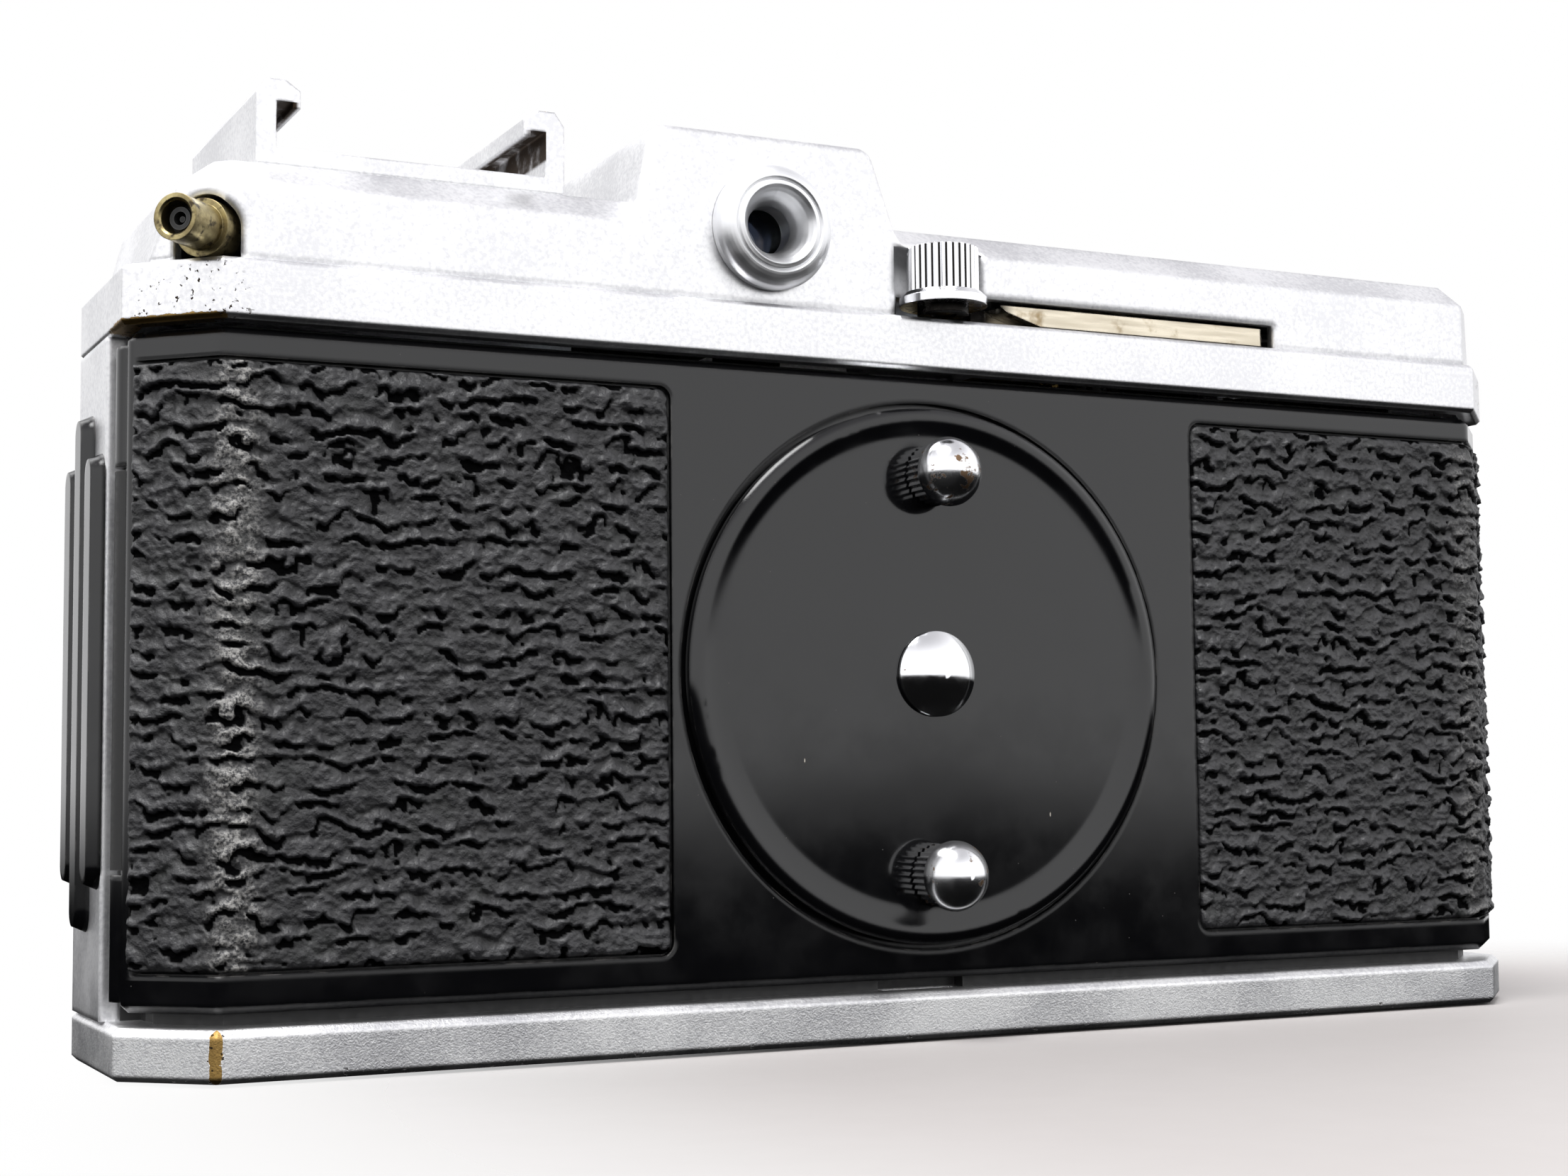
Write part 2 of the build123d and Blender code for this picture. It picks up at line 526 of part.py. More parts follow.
with BuildPart() as aperture_ring:
    control_ring(-21.6, -18.4, SHUTTER_R + RUN, RING_R, 90, 0.45)
save("aperture_ring", aperture_ring.part)

with BuildPart() as speed_ring:
    control_ring(-26.7, -23.0, SHUTTER_R + RUN, RING_R, 90, 0.45)
save("speed_ring", speed_ring.part)

with BuildPart() as lens_barrel:
    barrel(17.95, -23.6, -22.4)
    barrel(LENS_BARREL_R, -33.8, -23.6)
    barrel(12.0, -40, 0, mode=Mode.SUBTRACT)
save("lens_barrel", lens_barrel.part)

with BuildPart() as focus_ring:
    control_ring(-33.2, -28.3, LENS_BARREL_R + RUN, 17.6, 60, 0.55)
save("focus_ring", focus_ring.part)

with BuildPart() as front_cell:
    barrel(11.95, -34.3, -24.2)
    barrel(14.4, -37.6, -34.3)
    chamfer(front_cell.edges().filter_by(GeomType.CIRCLE).group_by(Axis.Y)[0], 0.4)
    barrel(9.0, -40, 0, mode=Mode.SUBTRACT)
    barrel(13.2, -40, -35.4, mode=Mode.SUBTRACT)
    # conical mask that narrows to the front element
    with BuildSketch(Plane.XZ.offset(35.4)) as wide:
        with Locations((0, LENS_Z)):
            Circle(12.4)
    with BuildSketch(Plane.XZ.offset(32.4)) as narrow:
        with Locations((0, LENS_Z)):
            Circle(9.0)
    loft([wide.sketch.face(), narrow.sketch.face()], mode=Mode.SUBTRACT)
save("front_cell", front_cell.part)


def cap_rise(radius, bulge):
    """Height of a spherical cap above its rim, half way out from its axis."""
    sphere = (radius ** 2 + bulge ** 2) / (2 * bulge)
    return bulge - sphere + math.sqrt(sphere ** 2 - radius ** 2 / 4)


def lens_element(radius, edge_front, edge_back, front_bulge, back_bulge):
    """Round glass with bulging faces, revolved about the lens axis."""
    with BuildSketch(Plane.YZ) as section:
        with BuildLine():
            ThreePointArc((edge_front, radius), (edge_front - cap_rise(radius, front_bulge), radius / 2),
                          (edge_front - front_bulge, 0))
            Line((edge_front - front_bulge, 0), (edge_back + back_bulge, 0))
            back_middle = (edge_back + cap_rise(radius, back_bulge), radius / 2)
            ThreePointArc((edge_back + back_bulge, 0), back_middle, (edge_back, radius))
            Line((edge_back, radius), (edge_front, radius))
        make_face()
    revolve(Pos(0, 0, LENS_Z) * section.sketch, axis=Axis((0, 0, LENS_Z), (0, 1, 0)))


with BuildPart() as front_element:
    lens_element(9.0, -31.8, -29.6, 1.5, 0.4)
save("front_element", front_element.part)

with BuildPart() as rear_cell:
    barrel(10.0, FLANGE_Y - 1.2, -12.6)
    barrel(8.0, -40, 0, mode=Mode.SUBTRACT)
save("rear_cell", rear_cell.part)

with BuildPart() as rear_element:
    lens_element(8.0, -15.6, -14.0, 0.3, 1.0)
save("rear_element", rear_element.part)


def blade_ring(y, inner, thickness, sweep):
    """Five overlapping-style blades laid out side by side, each its own solid."""
    for k in range(5):
        start = math.radians(72 * k)
        middle, end = start + math.radians(sweep / 2), start + math.radians(sweep)
        with BuildSketch(Plane.XZ.offset(-y)) as blade:
            with BuildLine():
                ThreePointArc(*[(12.6 * math.cos(a), 12.6 * math.sin(a)) for a in (start, middle, end)])
                Line((12.6 * math.cos(end), 12.6 * math.sin(end)),
                     (inner * math.cos(end), inner * math.sin(end)))
                ThreePointArc(*[(inner * math.cos(a), inner * math.sin(a)) for a in (end, middle, start)])
                Line((inner * math.cos(start), inner * math.sin(start)),
                     (12.6 * math.cos(start), 12.6 * math.sin(start)))
            make_face()
        extrude(Pos(0, 0, LENS_Z) * blade.sketch, amount=thickness)


with BuildPart() as shutter_blades:
    blade_ring(FLANGE_Y - 1.3, 0.3, 0.25, 71.4)
save("shutter_blades", shutter_blades.part)

with BuildPart() as iris_blades:
    blade_ring(FLANGE_Y - 1.9, 5.0, 0.25, 71.4)
save("iris_blades", iris_blades.part)

# ---- back door ------------------------------------------------------------------------
DOOR_END = 9.0            # the door's two ends stop here, short of the end plates
KNUCKLES = ((4.9, 13.1), (39.9, 47.9))
LEATHER_Z = (6.9, 46.5)
LEATHER_X = ((20.9, 60), (-60, -23.9))
DISC_SEAT_Y = REAR - DOOR_OUTER - 0.5

with BuildPart() as back_door:
    plate(*DOOR_Z, DOOR_OUTER)
    upright = back_door.edges().filter_by(Axis.Z).group_by(Axis.Y)
    fillet(upright[-1] + upright[-2], 1.0)
    chamfer(back_door.faces().sort_by(Axis.Z)[0].edges(), 0.5)
    chamfer(back_door.faces().sort_by(Axis.Z)[-1].edges(), 0.5)
    plate(0, 60, DOOR_INNER, Mode.SUBTRACT)
    slab((-60, 60), (-20, DOOR_END), (0, 60), Mode.SUBTRACT)
    # recesses for the two leathers and the seat of the lock disc
    for x in LEATHER_X:
        with BuildSketch(Plane.XZ.offset(-20)) as panel:
            with Locations(((x[0] + x[1]) / 2, sum(LEATHER_Z) / 2)):
                RectangleRounded(x[1] - x[0] + 0.3, LEATHER_Z[1] - LEATHER_Z[0] + 0.3, 1.0)
        with BuildSketch(Plane.XY) as skin:
            Polygon((-70, DOOR_END + 0.9), (70, DOOR_END + 0.9), (70, 30), (-70, 30), align=None)
            Polygon(*octagon(DOOR_OUTER + 0.5), align=None, mode=Mode.SUBTRACT)
        recess = extrude(panel.sketch, amount=30, mode=Mode.PRIVATE) & extrude(
            skin.sketch, amount=60, mode=Mode.PRIVATE)
        add(recess, mode=Mode.SUBTRACT)
    barrel(DISC_R + 0.45, DISC_SEAT_Y, 20, mode=Mode.SUBTRACT)
    barrel(1.5 + RUN, 0, 20, mode=Mode.SUBTRACT)
    # hinge knuckles at the rewind end
    for low, high in KNUCKLES:
        slab((HINGE[0] - 0.7, HINGE[0] + 0.9), (HINGE[1], DOOR_END + 0.3), (low, high))
        post(HINGE, HINGE_R, low, high)
        post(HINGE, PIN_R + RUN, low - 1, high + 1, Mode.SUBTRACT)
    # guides that hold the lock bolts
    for low, high in ((6.6, 7.8), (45.2, 46.4)):
        slab((-4.2, 4.2), (10.95, REAR - DOOR_INNER), (low, high))
        slab((-3.1, 3.1), (11.25, REAR - DOOR_INNER), (low, high), Mode.SUBTRACT)
save("back_door", back_door.part)

with BuildPart() as hinge_pin:
    post(HINGE, PIN_R, 4.8, 48.2)
save("hinge_pin", hinge_pin.part)


def door_leather(x):
    """Leather panel that follows the back and wraps round the corner of the door."""
    with BuildSketch(Plane.XY.offset(LEATHER_Z[0])) as strip:
        Polygon(*octagon(DOOR_OUTER - 0.1), align=None)
        Polygon(*octagon(DOOR_OUTER + 0.5), align=None, mode=Mode.SUBTRACT)
        leather_end = DOOR_END + 1.1
        Polygon((-70, -30), (70, -30), (70, leather_end), (-70, leather_end), align=None, mode=Mode.SUBTRACT)
        with Locations(((x[0] + x[1]) / 2, 0)):
            Rectangle(x[1] - x[0], 40, mode=Mode.INTERSECT)
    extrude(strip.sketch, amount=LEATHER_Z[1] - LEATHER_Z[0])


with BuildPart() as door_leather_left:
    door_leather(LEATHER_X[0])
    fillet(door_leather_left.edges().filter_by(Axis.Y).group_by(Axis.X)[0], 0.9)
save("door_leather_left", door_leather_left.part)

with BuildPart() as door_leather_right:
    door_leather(LEATHER_X[1])
    fillet(door_leather_right.edges().filter_by(Axis.Y).group_by(Axis.X)[-1], 0.9)
save("door_leather_right", door_leather_right.part)

# ---- door lock ---------------------------------------------------------------------------
with BuildPart() as lock_disc:
    with BuildSketch(Plane.YZ) as section:
        with BuildLine():
            Polyline((DISC_SEAT_Y + 0.05, 0), (DISC_SEAT_Y + 0.05, 19.4), (DISC_SEAT_Y + 0.35, DISC_R))
            Line((DISC_SEAT_Y + 0.35, DISC_R), (14.9, DISC_R))
            ThreePointArc((14.9, DISC_R), (15.2, 19.2), (15.2, 18.6))
            ThreePointArc((15.2, 18.6), (15.04, 17.9), (14.98, 17.0))
            Polyline((14.98, 17.0), (15.15, 0), (DISC_SEAT_Y + 0.05, 0))
        make_face()
    revolve(Pos(0, 0, LENS_Z) * section.sketch, axis=Axis((0, 0, LENS_Z), (0, 1, 0)))
    barrel(1.5, 12.5, 14.5)
    for z in (LENS_Z - PEG_Z, LENS_Z + PEG_Z):
        barrel(1.0, 14.3, 20, (0, z), Mode.SUBTRACT)
    barrel(1.0, 12.6, 20, mode=Mode.SUBTRACT)
save("lock_disc", lock_disc.part)

DOME_R = 2.55             # domed caps of the pegs

with BuildPart() as lock_pegs:
    for z in (LENS_Z - PEG_Z, LENS_Z + PEG_Z):
        barrel(1.0, 14.3, 15.2, (0, z))
        with BuildSketch(Plane.XZ.offset(-17.5)) as grip:
            with Locations((0, z)):
                Polygon(*knurl_points(2.3, 0.18, 30), align=None)
        extrude(grip.sketch, amount=2.3)
        with BuildSketch(Plane.YZ) as section:
            with BuildLine():
                Polyline((17.4, 0), (17.4, DOME_R), (17.7, DOME_R))
                ThreePointArc((17.7, DOME_R), (17.7 + cap_rise(DOME_R, 2.1), DOME_R / 2), (19.8, 0))
                Line((19.8, 0), (17.4, 0))
            make_face()
        revolve(Pos(0, 0, z) * section.sketch, axis=Axis((0, 0, z), (0, 1, 0)))
save("lock_pegs", lock_pegs.part)

with BuildPart() as lock_screw:
    barrel(1.0, 12.6, 15.3)
    with BuildSketch(Plane.YZ) as section:
        with BuildLine():
            Polyline((15.2, 0), (15.2, 3.15), (15.45, 3.15))
            ThreePointArc((15.45, 3.15), (15.45 + cap_rise(3.15, 1.2), 3.15 / 2), (16.65, 0))
            Line((16.65, 0), (15.2, 0))
        make_face()
    revolve(Pos(0, 0, LENS_Z) * section.sketch, axis=Axis((0, 0, LENS_Z), (0, 1, 0)))
save("lock_screw", lock_screw.part)

CAM_PIN = (CAM_PIN_R * math.cos(math.radians(CAM_REST)), CAM_PIN_R * math.sin(math.radians(CAM_REST)))

with BuildPart() as lock_cam:
    barrel(3.8, 11.95, 12.5)
    for side in (-1, 1):
        barrel(0.6, 11.35, 11.95, (side * CAM_PIN[0], LENS_Z + side * CAM_PIN[1]))
save("lock_cam", lock_cam.part)


def lock_bolt(side):
    """Flat bolt, side +1 upwards and -1 downwards, with a cross slot for its cam pin."""
    pin_z = LENS_Z + side * CAM_PIN[1]
    pin_x = side * CAM_PIN[0]
    slab(sorted((side * 0.7, side * 4.2)), (11.3, 11.85), sorted((pin_z - side * 1.5, LENS_Z + side * 6)))
    slab((-3.0, 3.0), (11.3, 11.85), sorted((LENS_Z + side * 4.8, LENS_Z + side * 21.5)))
    slab((pin_x - 0.9, pin_x + 0.9), (11, 12), (pin_z - 0.66, pin_z + 0.66), Mode.SUBTRACT)


for bolt_name, bolt_side in (("lock_bolt_top", 1), ("lock_bolt_bottom", -1)):
    with BuildPart() as bolt:
        lock_bolt(bolt_side)
    save(bolt_name, bolt.part)

# ---- pressure plate ------------------------------------------------------------------------
with BuildPart() as pressure_plate:
    slab((-18.8, 26.0), (FILM_Y + 0.25, FILM_Y + 1.2), (LENS_Z - 17.0, LENS_Z + 17.0))
    chamfer(pressure_plate.edges().filter_by(Axis.Y), 2.0)
save("pressure_plate", pressure_plate.part)

with BuildPart() as pressure_springs:
    for x in (-12.5, 12.5):
        with BuildSketch(Plane.YZ.offset(x - 2.5)) as bow:
            with BuildLine():
                Polyline((12.3, 13.4), (12.3, 12.0), (12.55, 12.0), (12.55, 13.5))
                ThreePointArc((12.55, 13.5), (11.05, 26.5), (12.55, 39.5))
                Polyline((12.55, 39.5), (12.55, 41.0), (12.3, 41.0), (12.3, 39.6))
                ThreePointArc((12.3, 39.6), (10.8, 26.5), (12.3, 13.4))
            make_face()
        extrude(bow.sketch, amount=5.0)
save("pressure_springs", pressure_springs.part)

# ---- advance lever and film transport ---------------------------------------------------------
ARM_Z = (BAND_TOP + 0.3, BAND_TOP + 1.7)
KNOB_FLANGE_Z = (BAND_TOP + 0.9, BAND_TOP + 1.9)
LAYER_A, LAYER_B, LAYER_C = (49.3, 50.3), (50.5, 51.5), (51.7, 52.7)
LEVER_TEETH, IDLER_TEETH = 38, (14, 30)
SPROCKET_TEETH, SPOOL_DRIVE_TEETH, SPOOL_TEETH = 22, 28, 42
SPOOL = (-CHAMBER_X, CHAMBER_Y)
SLEEVE_R = 3.2

with BuildPart() as advance_arm:
    post(SPROCKET, 6.0, *ARM_Z)
    with BuildSketch(Plane.XY.offset(ARM_Z[0])) as arm:
        with BuildLine():
            Polyline((-28.0, 6.0), (-31.95, 12.6), (-31.9, 13.35), (-31.5, 13.7), (-7.0, 13.7))
            ThreePointArc((-7.0, 13.7), (-7.4, 12.0), (-6.0, 10.9))
            Polyline((-6.0, 10.9), (-2.6, 13.6), (0.2, 13.8))
            ThreePointArc((0.2, 13.8), (-3.6, 9.3), (-10.0, 8.4))
            Polyline((-10.0, 8.4), (-18.5, 5.1), (-28.0, 6.0))
        make_face()
    extrude(arm.sketch, amount=ARM_Z[1] - ARM_Z[0])
    post(KNOB, 1.9, *ARM_Z)
    post(KNOB, 3.6, KNOB_FLANGE_Z[0], 60, Mode.SUBTRACT)
    # the visible edge tapers downwards at its knob end
    with BuildSketch(Plane.XZ.offset(-15)) as nose:
        Polygon((-10.6, ARM_Z[0]), (-7.6, ARM_Z[0] + 0.9), (-6.9, ARM_Z[1]), (-6.0, ARM_Z[1]),
                (-6.0, ARM_Z[0]), align=None)
    extrude(nose.sketch, amount=3.6, mode=Mode.SUBTRACT)
    post(SPROCKET, SLEEVE_R, 50, 60, Mode.SUBTRACT)
    post(KNOB, 1.0, 50, 60, Mode.SUBTRACT)
save("advance_arm", advance_arm.part)

with BuildPart() as advance_knob:
    post(KNOB, 3.3, *KNOB_FLANGE_Z)
    chamfer(advance_knob.faces().sort_by(Axis.Z)[-1].edges(), 0.4)
    with BuildSketch(Plane.XY.offset(KNOB_FLANGE_Z[1])) as grip:
        with Locations(KNOB):
            Polygon(*knurl_points(2.7, 0.22, 30), align=None)
    extrude(grip.sketch, amount=3.4)
    post(KNOB, 1.0, ARM_Z[0] + 0.1, KNOB_FLANGE_Z[0])
save("advance_knob", advance_knob.part)

with BuildPart() as lever_gear:
    gear(SPROCKET, LEVER_TEETH, *LAYER_C)
    post(SPROCKET, SLEEVE_R, LAYER_C[1], 57.4)
    post(SPROCKET, 1.8 + RUN, 50, 60, Mode.SUBTRACT)
save("lever_gear", lever_gear.part)

with BuildPart() as lever_post:
    post(SPROCKET, 1.8, 51.75, DECK - HOUSING_WALL)
    post(SPROCKET, 4.0, 58.0, DECK - HOUSING_WALL)
save("lever_post", lever_post.part)

with BuildPart() as return_spring:
    post(SPROCKET, 4.7, 55.2, 57.2)
    post(SPROCKET, 3.7, 55.2, 57.2, Mode.SUBTRACT)
save("return_spring", return_spring.part)

IDLER_PINION_TURN = mesh_turn(SPROCKET, IDLER, LEVER_TEETH, IDLER_TEETH[0], 0.0)

with BuildPart() as idler_gears:
    gear(IDLER, IDLER_TEETH[1], *LAYER_B, 0.0)
    gear(IDLER, IDLER_TEETH[0], *LAYER_C, IDLER_PINION_TURN)
    post(IDLER, 2.2, LAYER_B[1], LAYER_C[0])
    post(IDLER, 0.95, 47.2, LAYER_B[0])
    post(IDLER, 1.8, 49.1, LAYER_B[0])
save("idler_gears", idler_gears.part)

SPROCKET_TURN = mesh_turn(IDLER, SPROCKET, IDLER_TEETH[1], SPROCKET_TEETH, 0.0)
SPOOL_TURN = mesh_turn(SPROCKET, SPOOL, SPOOL_DRIVE_TEETH, SPOOL_TEETH, 0.0)

with BuildPart() as film_sprocket:
    post(SPROCKET, 1.45, 4.9, LAYER_B[1])
    post(SPROCKET, 4.4, 6.6, 46.4)
    for low in (8.2, 41.8):
        post(SPROCKET, 5.9, low, low + 3.0)
        for k in range(8):
            angle = 45 * k + 11.0
            tooth = Location((SPROCKET[0], SPROCKET[1], low + 1.5), (0, 0, angle))
            with Locations(tooth):
                with Locations((6.1, 0, 0)):
                    Box(1.0, 1.6, 1.6)
    gear(SPROCKET, SPOOL_DRIVE_TEETH, *LAYER_A)
    gear(SPROCKET, SPROCKET_TEETH, *LAYER_B, SPROCKET_TURN)
    post(SPROCKET, 2.2, LAYER_A[1], LAYER_B[0])
save("film_sprocket", film_sprocket.part)

with BuildPart() as take_up_spool:
    post(SPOOL, 1.95, 3.8, LAYER_A[0])
    post(SPOOL, 10.4, 5.0, 5.9)
    post(SPOOL, 5.0, 5.9, 47.0)
    post(SPOOL, 10.4, 47.0, 47.8)
    slab((SPOOL[0] - 0.5, SPOOL[0] + 0.5), (0, 20), (10, 43), Mode.SUBTRACT)
    gear(SPOOL, SPOOL_TEETH, *LAYER_A, SPOOL_TURN)
save("take_up_spool", take_up_spool.part)

with BuildPart() as counter_dial:
    post(SPOOL, 8.2, 57.2, 57.8)
    post(SPOOL, 1.2 + RUN, 50, 60, Mode.SUBTRACT)
save("counter_dial", counter_dial.part)

# ---- release and rewind --------------------------------------------------------------------------
with BuildPart() as release_button:
    post(RELEASE, 2.5, 59.2, 61.9)
    fillet(release_button.faces().sort_by(Axis.Z)[-1].edges(), 0.5)
    post(RELEASE, 1.2, 45.2, 59.2)
    post(RELEASE, 2.0, 55.3, 55.9)
    post(RELEASE, 0.9, 60.6, 65, Mode.SUBTRACT)
save("release_button", release_button.part)

with BuildPart() as release_spring:
    post(RELEASE, 2.0, 49.2, 55.2)
    post(RELEASE, 1.4, 49.2, 55.2, Mode.SUBTRACT)
save("release_spring", release_spring.part)

REWIND = (CHAMBER_X, CHAMBER_Y)

with BuildPart() as rewind_key:
    with BuildSketch(Plane.XY.offset(1.1)) as wheel:
        with Locations(REWIND):
            Polygon(*knurl_points(9.6, 0.35, 60), align=None)
    extrude(wheel.sketch, amount=1.0)
    slab((REWIND[0] - 7.0, REWIND[0] + 7.0), (REWIND[1] - 1.3, REWIND[1] + 1.3), (0.3, 1.1))
    post(REWIND, 1.95, 2.1, 4.8)
    # fork that turns the cassette's spool
    post(REWIND, 3.2, 4.8, 5.6)
    slab((REWIND[0] - 2.6, REWIND[0] + 2.6), (REWIND[1] - 0.6, REWIND[1] + 0.6), (5.6, 8.2))
save("rewind_key", rewind_key.part)

with BuildPart() as rewind_release:
    post(SPROCKET, 2.05, 0.3, 2.4)
    fillet(rewind_release.faces().sort_by(Axis.Z)[0].edges(), 0.4)
    post(SPROCKET, 1.2, 2.4, 3.8)
save("rewind_release", rewind_release.part)
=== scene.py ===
"""Looks of the rangefinder camera: materials of the CAD nodes, grained leather, studio and viewpoint."""
import json
import math

import bmesh
import bpy
import numpy as np
from mathutils import Matrix, Vector


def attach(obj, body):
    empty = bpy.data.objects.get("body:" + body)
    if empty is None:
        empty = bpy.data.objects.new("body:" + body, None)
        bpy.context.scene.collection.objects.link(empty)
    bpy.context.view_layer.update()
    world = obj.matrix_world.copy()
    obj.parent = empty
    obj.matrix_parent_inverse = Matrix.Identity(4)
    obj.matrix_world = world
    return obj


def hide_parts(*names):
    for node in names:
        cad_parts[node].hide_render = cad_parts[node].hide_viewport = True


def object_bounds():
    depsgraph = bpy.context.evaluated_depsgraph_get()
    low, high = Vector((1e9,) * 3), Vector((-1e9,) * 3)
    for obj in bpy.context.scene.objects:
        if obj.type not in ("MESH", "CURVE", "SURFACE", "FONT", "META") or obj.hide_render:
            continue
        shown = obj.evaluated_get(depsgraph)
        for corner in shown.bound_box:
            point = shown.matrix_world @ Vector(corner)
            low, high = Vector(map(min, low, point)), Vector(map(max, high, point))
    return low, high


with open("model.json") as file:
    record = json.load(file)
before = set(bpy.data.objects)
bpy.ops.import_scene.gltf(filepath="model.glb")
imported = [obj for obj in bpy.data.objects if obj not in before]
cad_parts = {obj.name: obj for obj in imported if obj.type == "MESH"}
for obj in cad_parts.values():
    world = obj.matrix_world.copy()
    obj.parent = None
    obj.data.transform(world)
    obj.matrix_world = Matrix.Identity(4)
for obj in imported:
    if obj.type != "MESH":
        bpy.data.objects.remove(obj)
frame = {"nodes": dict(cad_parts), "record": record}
cad_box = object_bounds()
nodes = frame["nodes"]

MM = 0.001
# places on the camera, in millimetres
LENS_AXIS = (0.0, 26.5)       # X and Z of the lens axis, which is the lock disc's too
CORNER = (52.6, 15.0)         # rear corner of the plan, where the back meets the corner face
EYEPIECE = (12.8, 58.7)       # X and Z of the eyepiece
SHOE_X = 38.85                # middle of the accessory shoe
KNOB = (-1.4, 14.7)           # X and Y of the knob on the advance lever
KNURLS = 30                   # teeth round the knob
KNOB_SHADE = (-8.5, -6.8)     # the lever is painted black towards the knob between these X, as shadow under the knob


# ---- material kit ----------------------------------------------------------------------
class Graph:
    """A node tree under construction. Methods return output sockets; lengths are in millimetres."""

    def __init__(self, tree, coordinates):
        self.tree = tree
        self.tree.nodes.clear()
        self.place = self.add("ShaderNodeTexCoord").outputs[coordinates]

    def add(self, kind, **settings):
        node = self.tree.nodes.new(kind)
        for key, value in settings.items():
            setattr(node, key, value)
        return node

    def feed(self, socket, value):
        if isinstance(value, bpy.types.NodeSocket):
            self.tree.links.new(value, socket)
        else:
            socket.default_value = value

    def shifted(self, stretch=(1, 1, 1), seed=0):
        """Object coordinates stretched along each axis and moved to another part of the pattern."""
        mapping = self.add("ShaderNodeMapping")
        self.feed(mapping.inputs["Vector"], self.place)
        mapping.inputs["Location"].default_value = (seed * 0.37, seed * 0.61, seed * 0.23)
        mapping.inputs["Scale"].default_value = [1 / s for s in stretch]
        return mapping.outputs["Vector"]

    def noise(self, size, detail=3.0, stretch=(1, 1, 1), seed=0, roughness=0.55):
        node = self.add("ShaderNodeTexNoise")
        self.feed(node.inputs["Vector"], self.shifted(stretch, seed))
        node.inputs["Scale"].default_value = 1 / (size * MM)
        node.inputs["Detail"].default_value = detail
        node.inputs["Roughness"].default_value = roughness
        return node.outputs["Fac"]

    def cells(self, size, stretch=(1, 1, 1), seed=0):
        node = self.add("ShaderNodeTexVoronoi")
        self.feed(node.inputs["Vector"], self.shifted(stretch, seed))
        node.inputs["Scale"].default_value = 1 / (size * MM)
        return node.outputs["Distance"]

    def math(self, operation, a, b=0.0, c=0.0):
        node = self.add("ShaderNodeMath", operation=operation)
        for socket, value in zip(node.inputs, (a, b, c)):
            self.feed(socket, value)
        return node.outputs["Value"]

    def ramp(self, value, low, high, start=0.0, end=1.0):
        """start up to low, end from high, smooth in between; high may be the smaller one."""
        node = self.add("ShaderNodeMapRange", interpolation_type="SMOOTHSTEP")
        if low > high:
            low, high, start, end = high, low, end, start
        for key, number in (("Value", value), ("From Min", low), ("From Max", high),
                            ("To Min", start), ("To Max", end)):
            self.feed(node.inputs[key], number)
        return node.outputs["Result"]

    def mix(self, share, a, b):
        """Colour between a and b, each a socket or an RGB triple."""
        node = self.add("ShaderNodeMix", data_type="RGBA")
        self.feed(node.inputs["Factor"], share)
        for socket, value in ((node.inputs[6], a), (node.inputs[7], b)):
            self.feed(socket, value if isinstance(value, bpy.types.NodeSocket) else (*value, 1.0))
        return node.outputs[2]

    def axis(self, letter):
        """One object coordinate in millimetres."""
        node = self.add("ShaderNodeSeparateXYZ")
        self.feed(node.inputs["Vector"], self.place)
        return self.math("MULTIPLY", node.outputs[letter], 1000.0)

    def distance(self, centre, letters):
        """Distance in millimetres from a line along the axis that letters leave out."""
        squares = []
        for letter, number in zip(letters, centre):
            offset = self.math("SUBTRACT", self.axis(letter), number)
            squares.append(self.math("MULTIPLY", offset, offset))
        return self.math("SQRT", self.math("ADD", *squares))

    def angle(self, centre, letters):
        """Angle round the same line, in radians."""
        first, second = [self.math("SUBTRACT", self.axis(k), n) for k, n in zip(letters, centre)]
        return self.math("ARCTAN2", second, first)


class Paint(Graph):
    """A procedural material round one principled shader."""

    def __init__(self, name):
        self.material = bpy.data.materials.new(name)
        self.material.use_nodes = True
        super().__init__(self.material.node_tree, "Object")
        self.shader = self.add("ShaderNodeBsdfPrincipled")

    def soft_edge(self, radius):
        """Normals rounded over the edges by this radius."""
        node = self.add("ShaderNodeBevel", samples=6)
        node.inputs["Radius"].default_value = radius * MM
        return node.outputs["Normal"]

    def edge(self, radius, low=0.02, high=0.2):
        """1 along sharp edges, falling off within radius."""
        dot = self.add("ShaderNodeVectorMath", operation="DOT_PRODUCT")
        self.feed(dot.inputs[0], self.soft_edge(radius))
        self.feed(dot.inputs[1], self.add("ShaderNodeNewGeometry").outputs["Normal"])
        return self.ramp(self.math("SUBTRACT", 1.0, dot.outputs["Value"]), low, high)

    def bump(self, height, depth, strength=1.0, normal=None):
        node = self.add("ShaderNodeBump")
        node.inputs["Distance"].default_value = depth * MM
        node.inputs["Strength"].default_value = strength
        self.feed(node.inputs["Height"], height)
        if normal is not None:
            self.feed(node.inputs["Normal"], normal)
        return node.outputs["Normal"]

    def done(self, **inputs):
        for key, value in inputs.items():
            socket = self.shader.inputs[key.replace("_", " ").title().replace("Ior", "IOR")]
            if not isinstance(value, bpy.types.NodeSocket) and socket.type == "RGBA":
                value = (*value, 1.0)
            self.feed(socket, value)
        output = self.add("ShaderNodeOutputMaterial")
        self.tree.links.new(self.shader.outputs[0], output.inputs["Surface"])
        return self.material


painted = set()


def wear(names, material):
    """Gives these CAD nodes the material."""
    for name in names.split():
        data = nodes[name].data
        data.materials.clear()
        data.materials.append(material)
        painted.add(name)


# ---- metals ------------------------------------------------------------------------------
BRASS = (0.52, 0.34, 0.11)
PIT = (0.05, 0.035, 0.025)


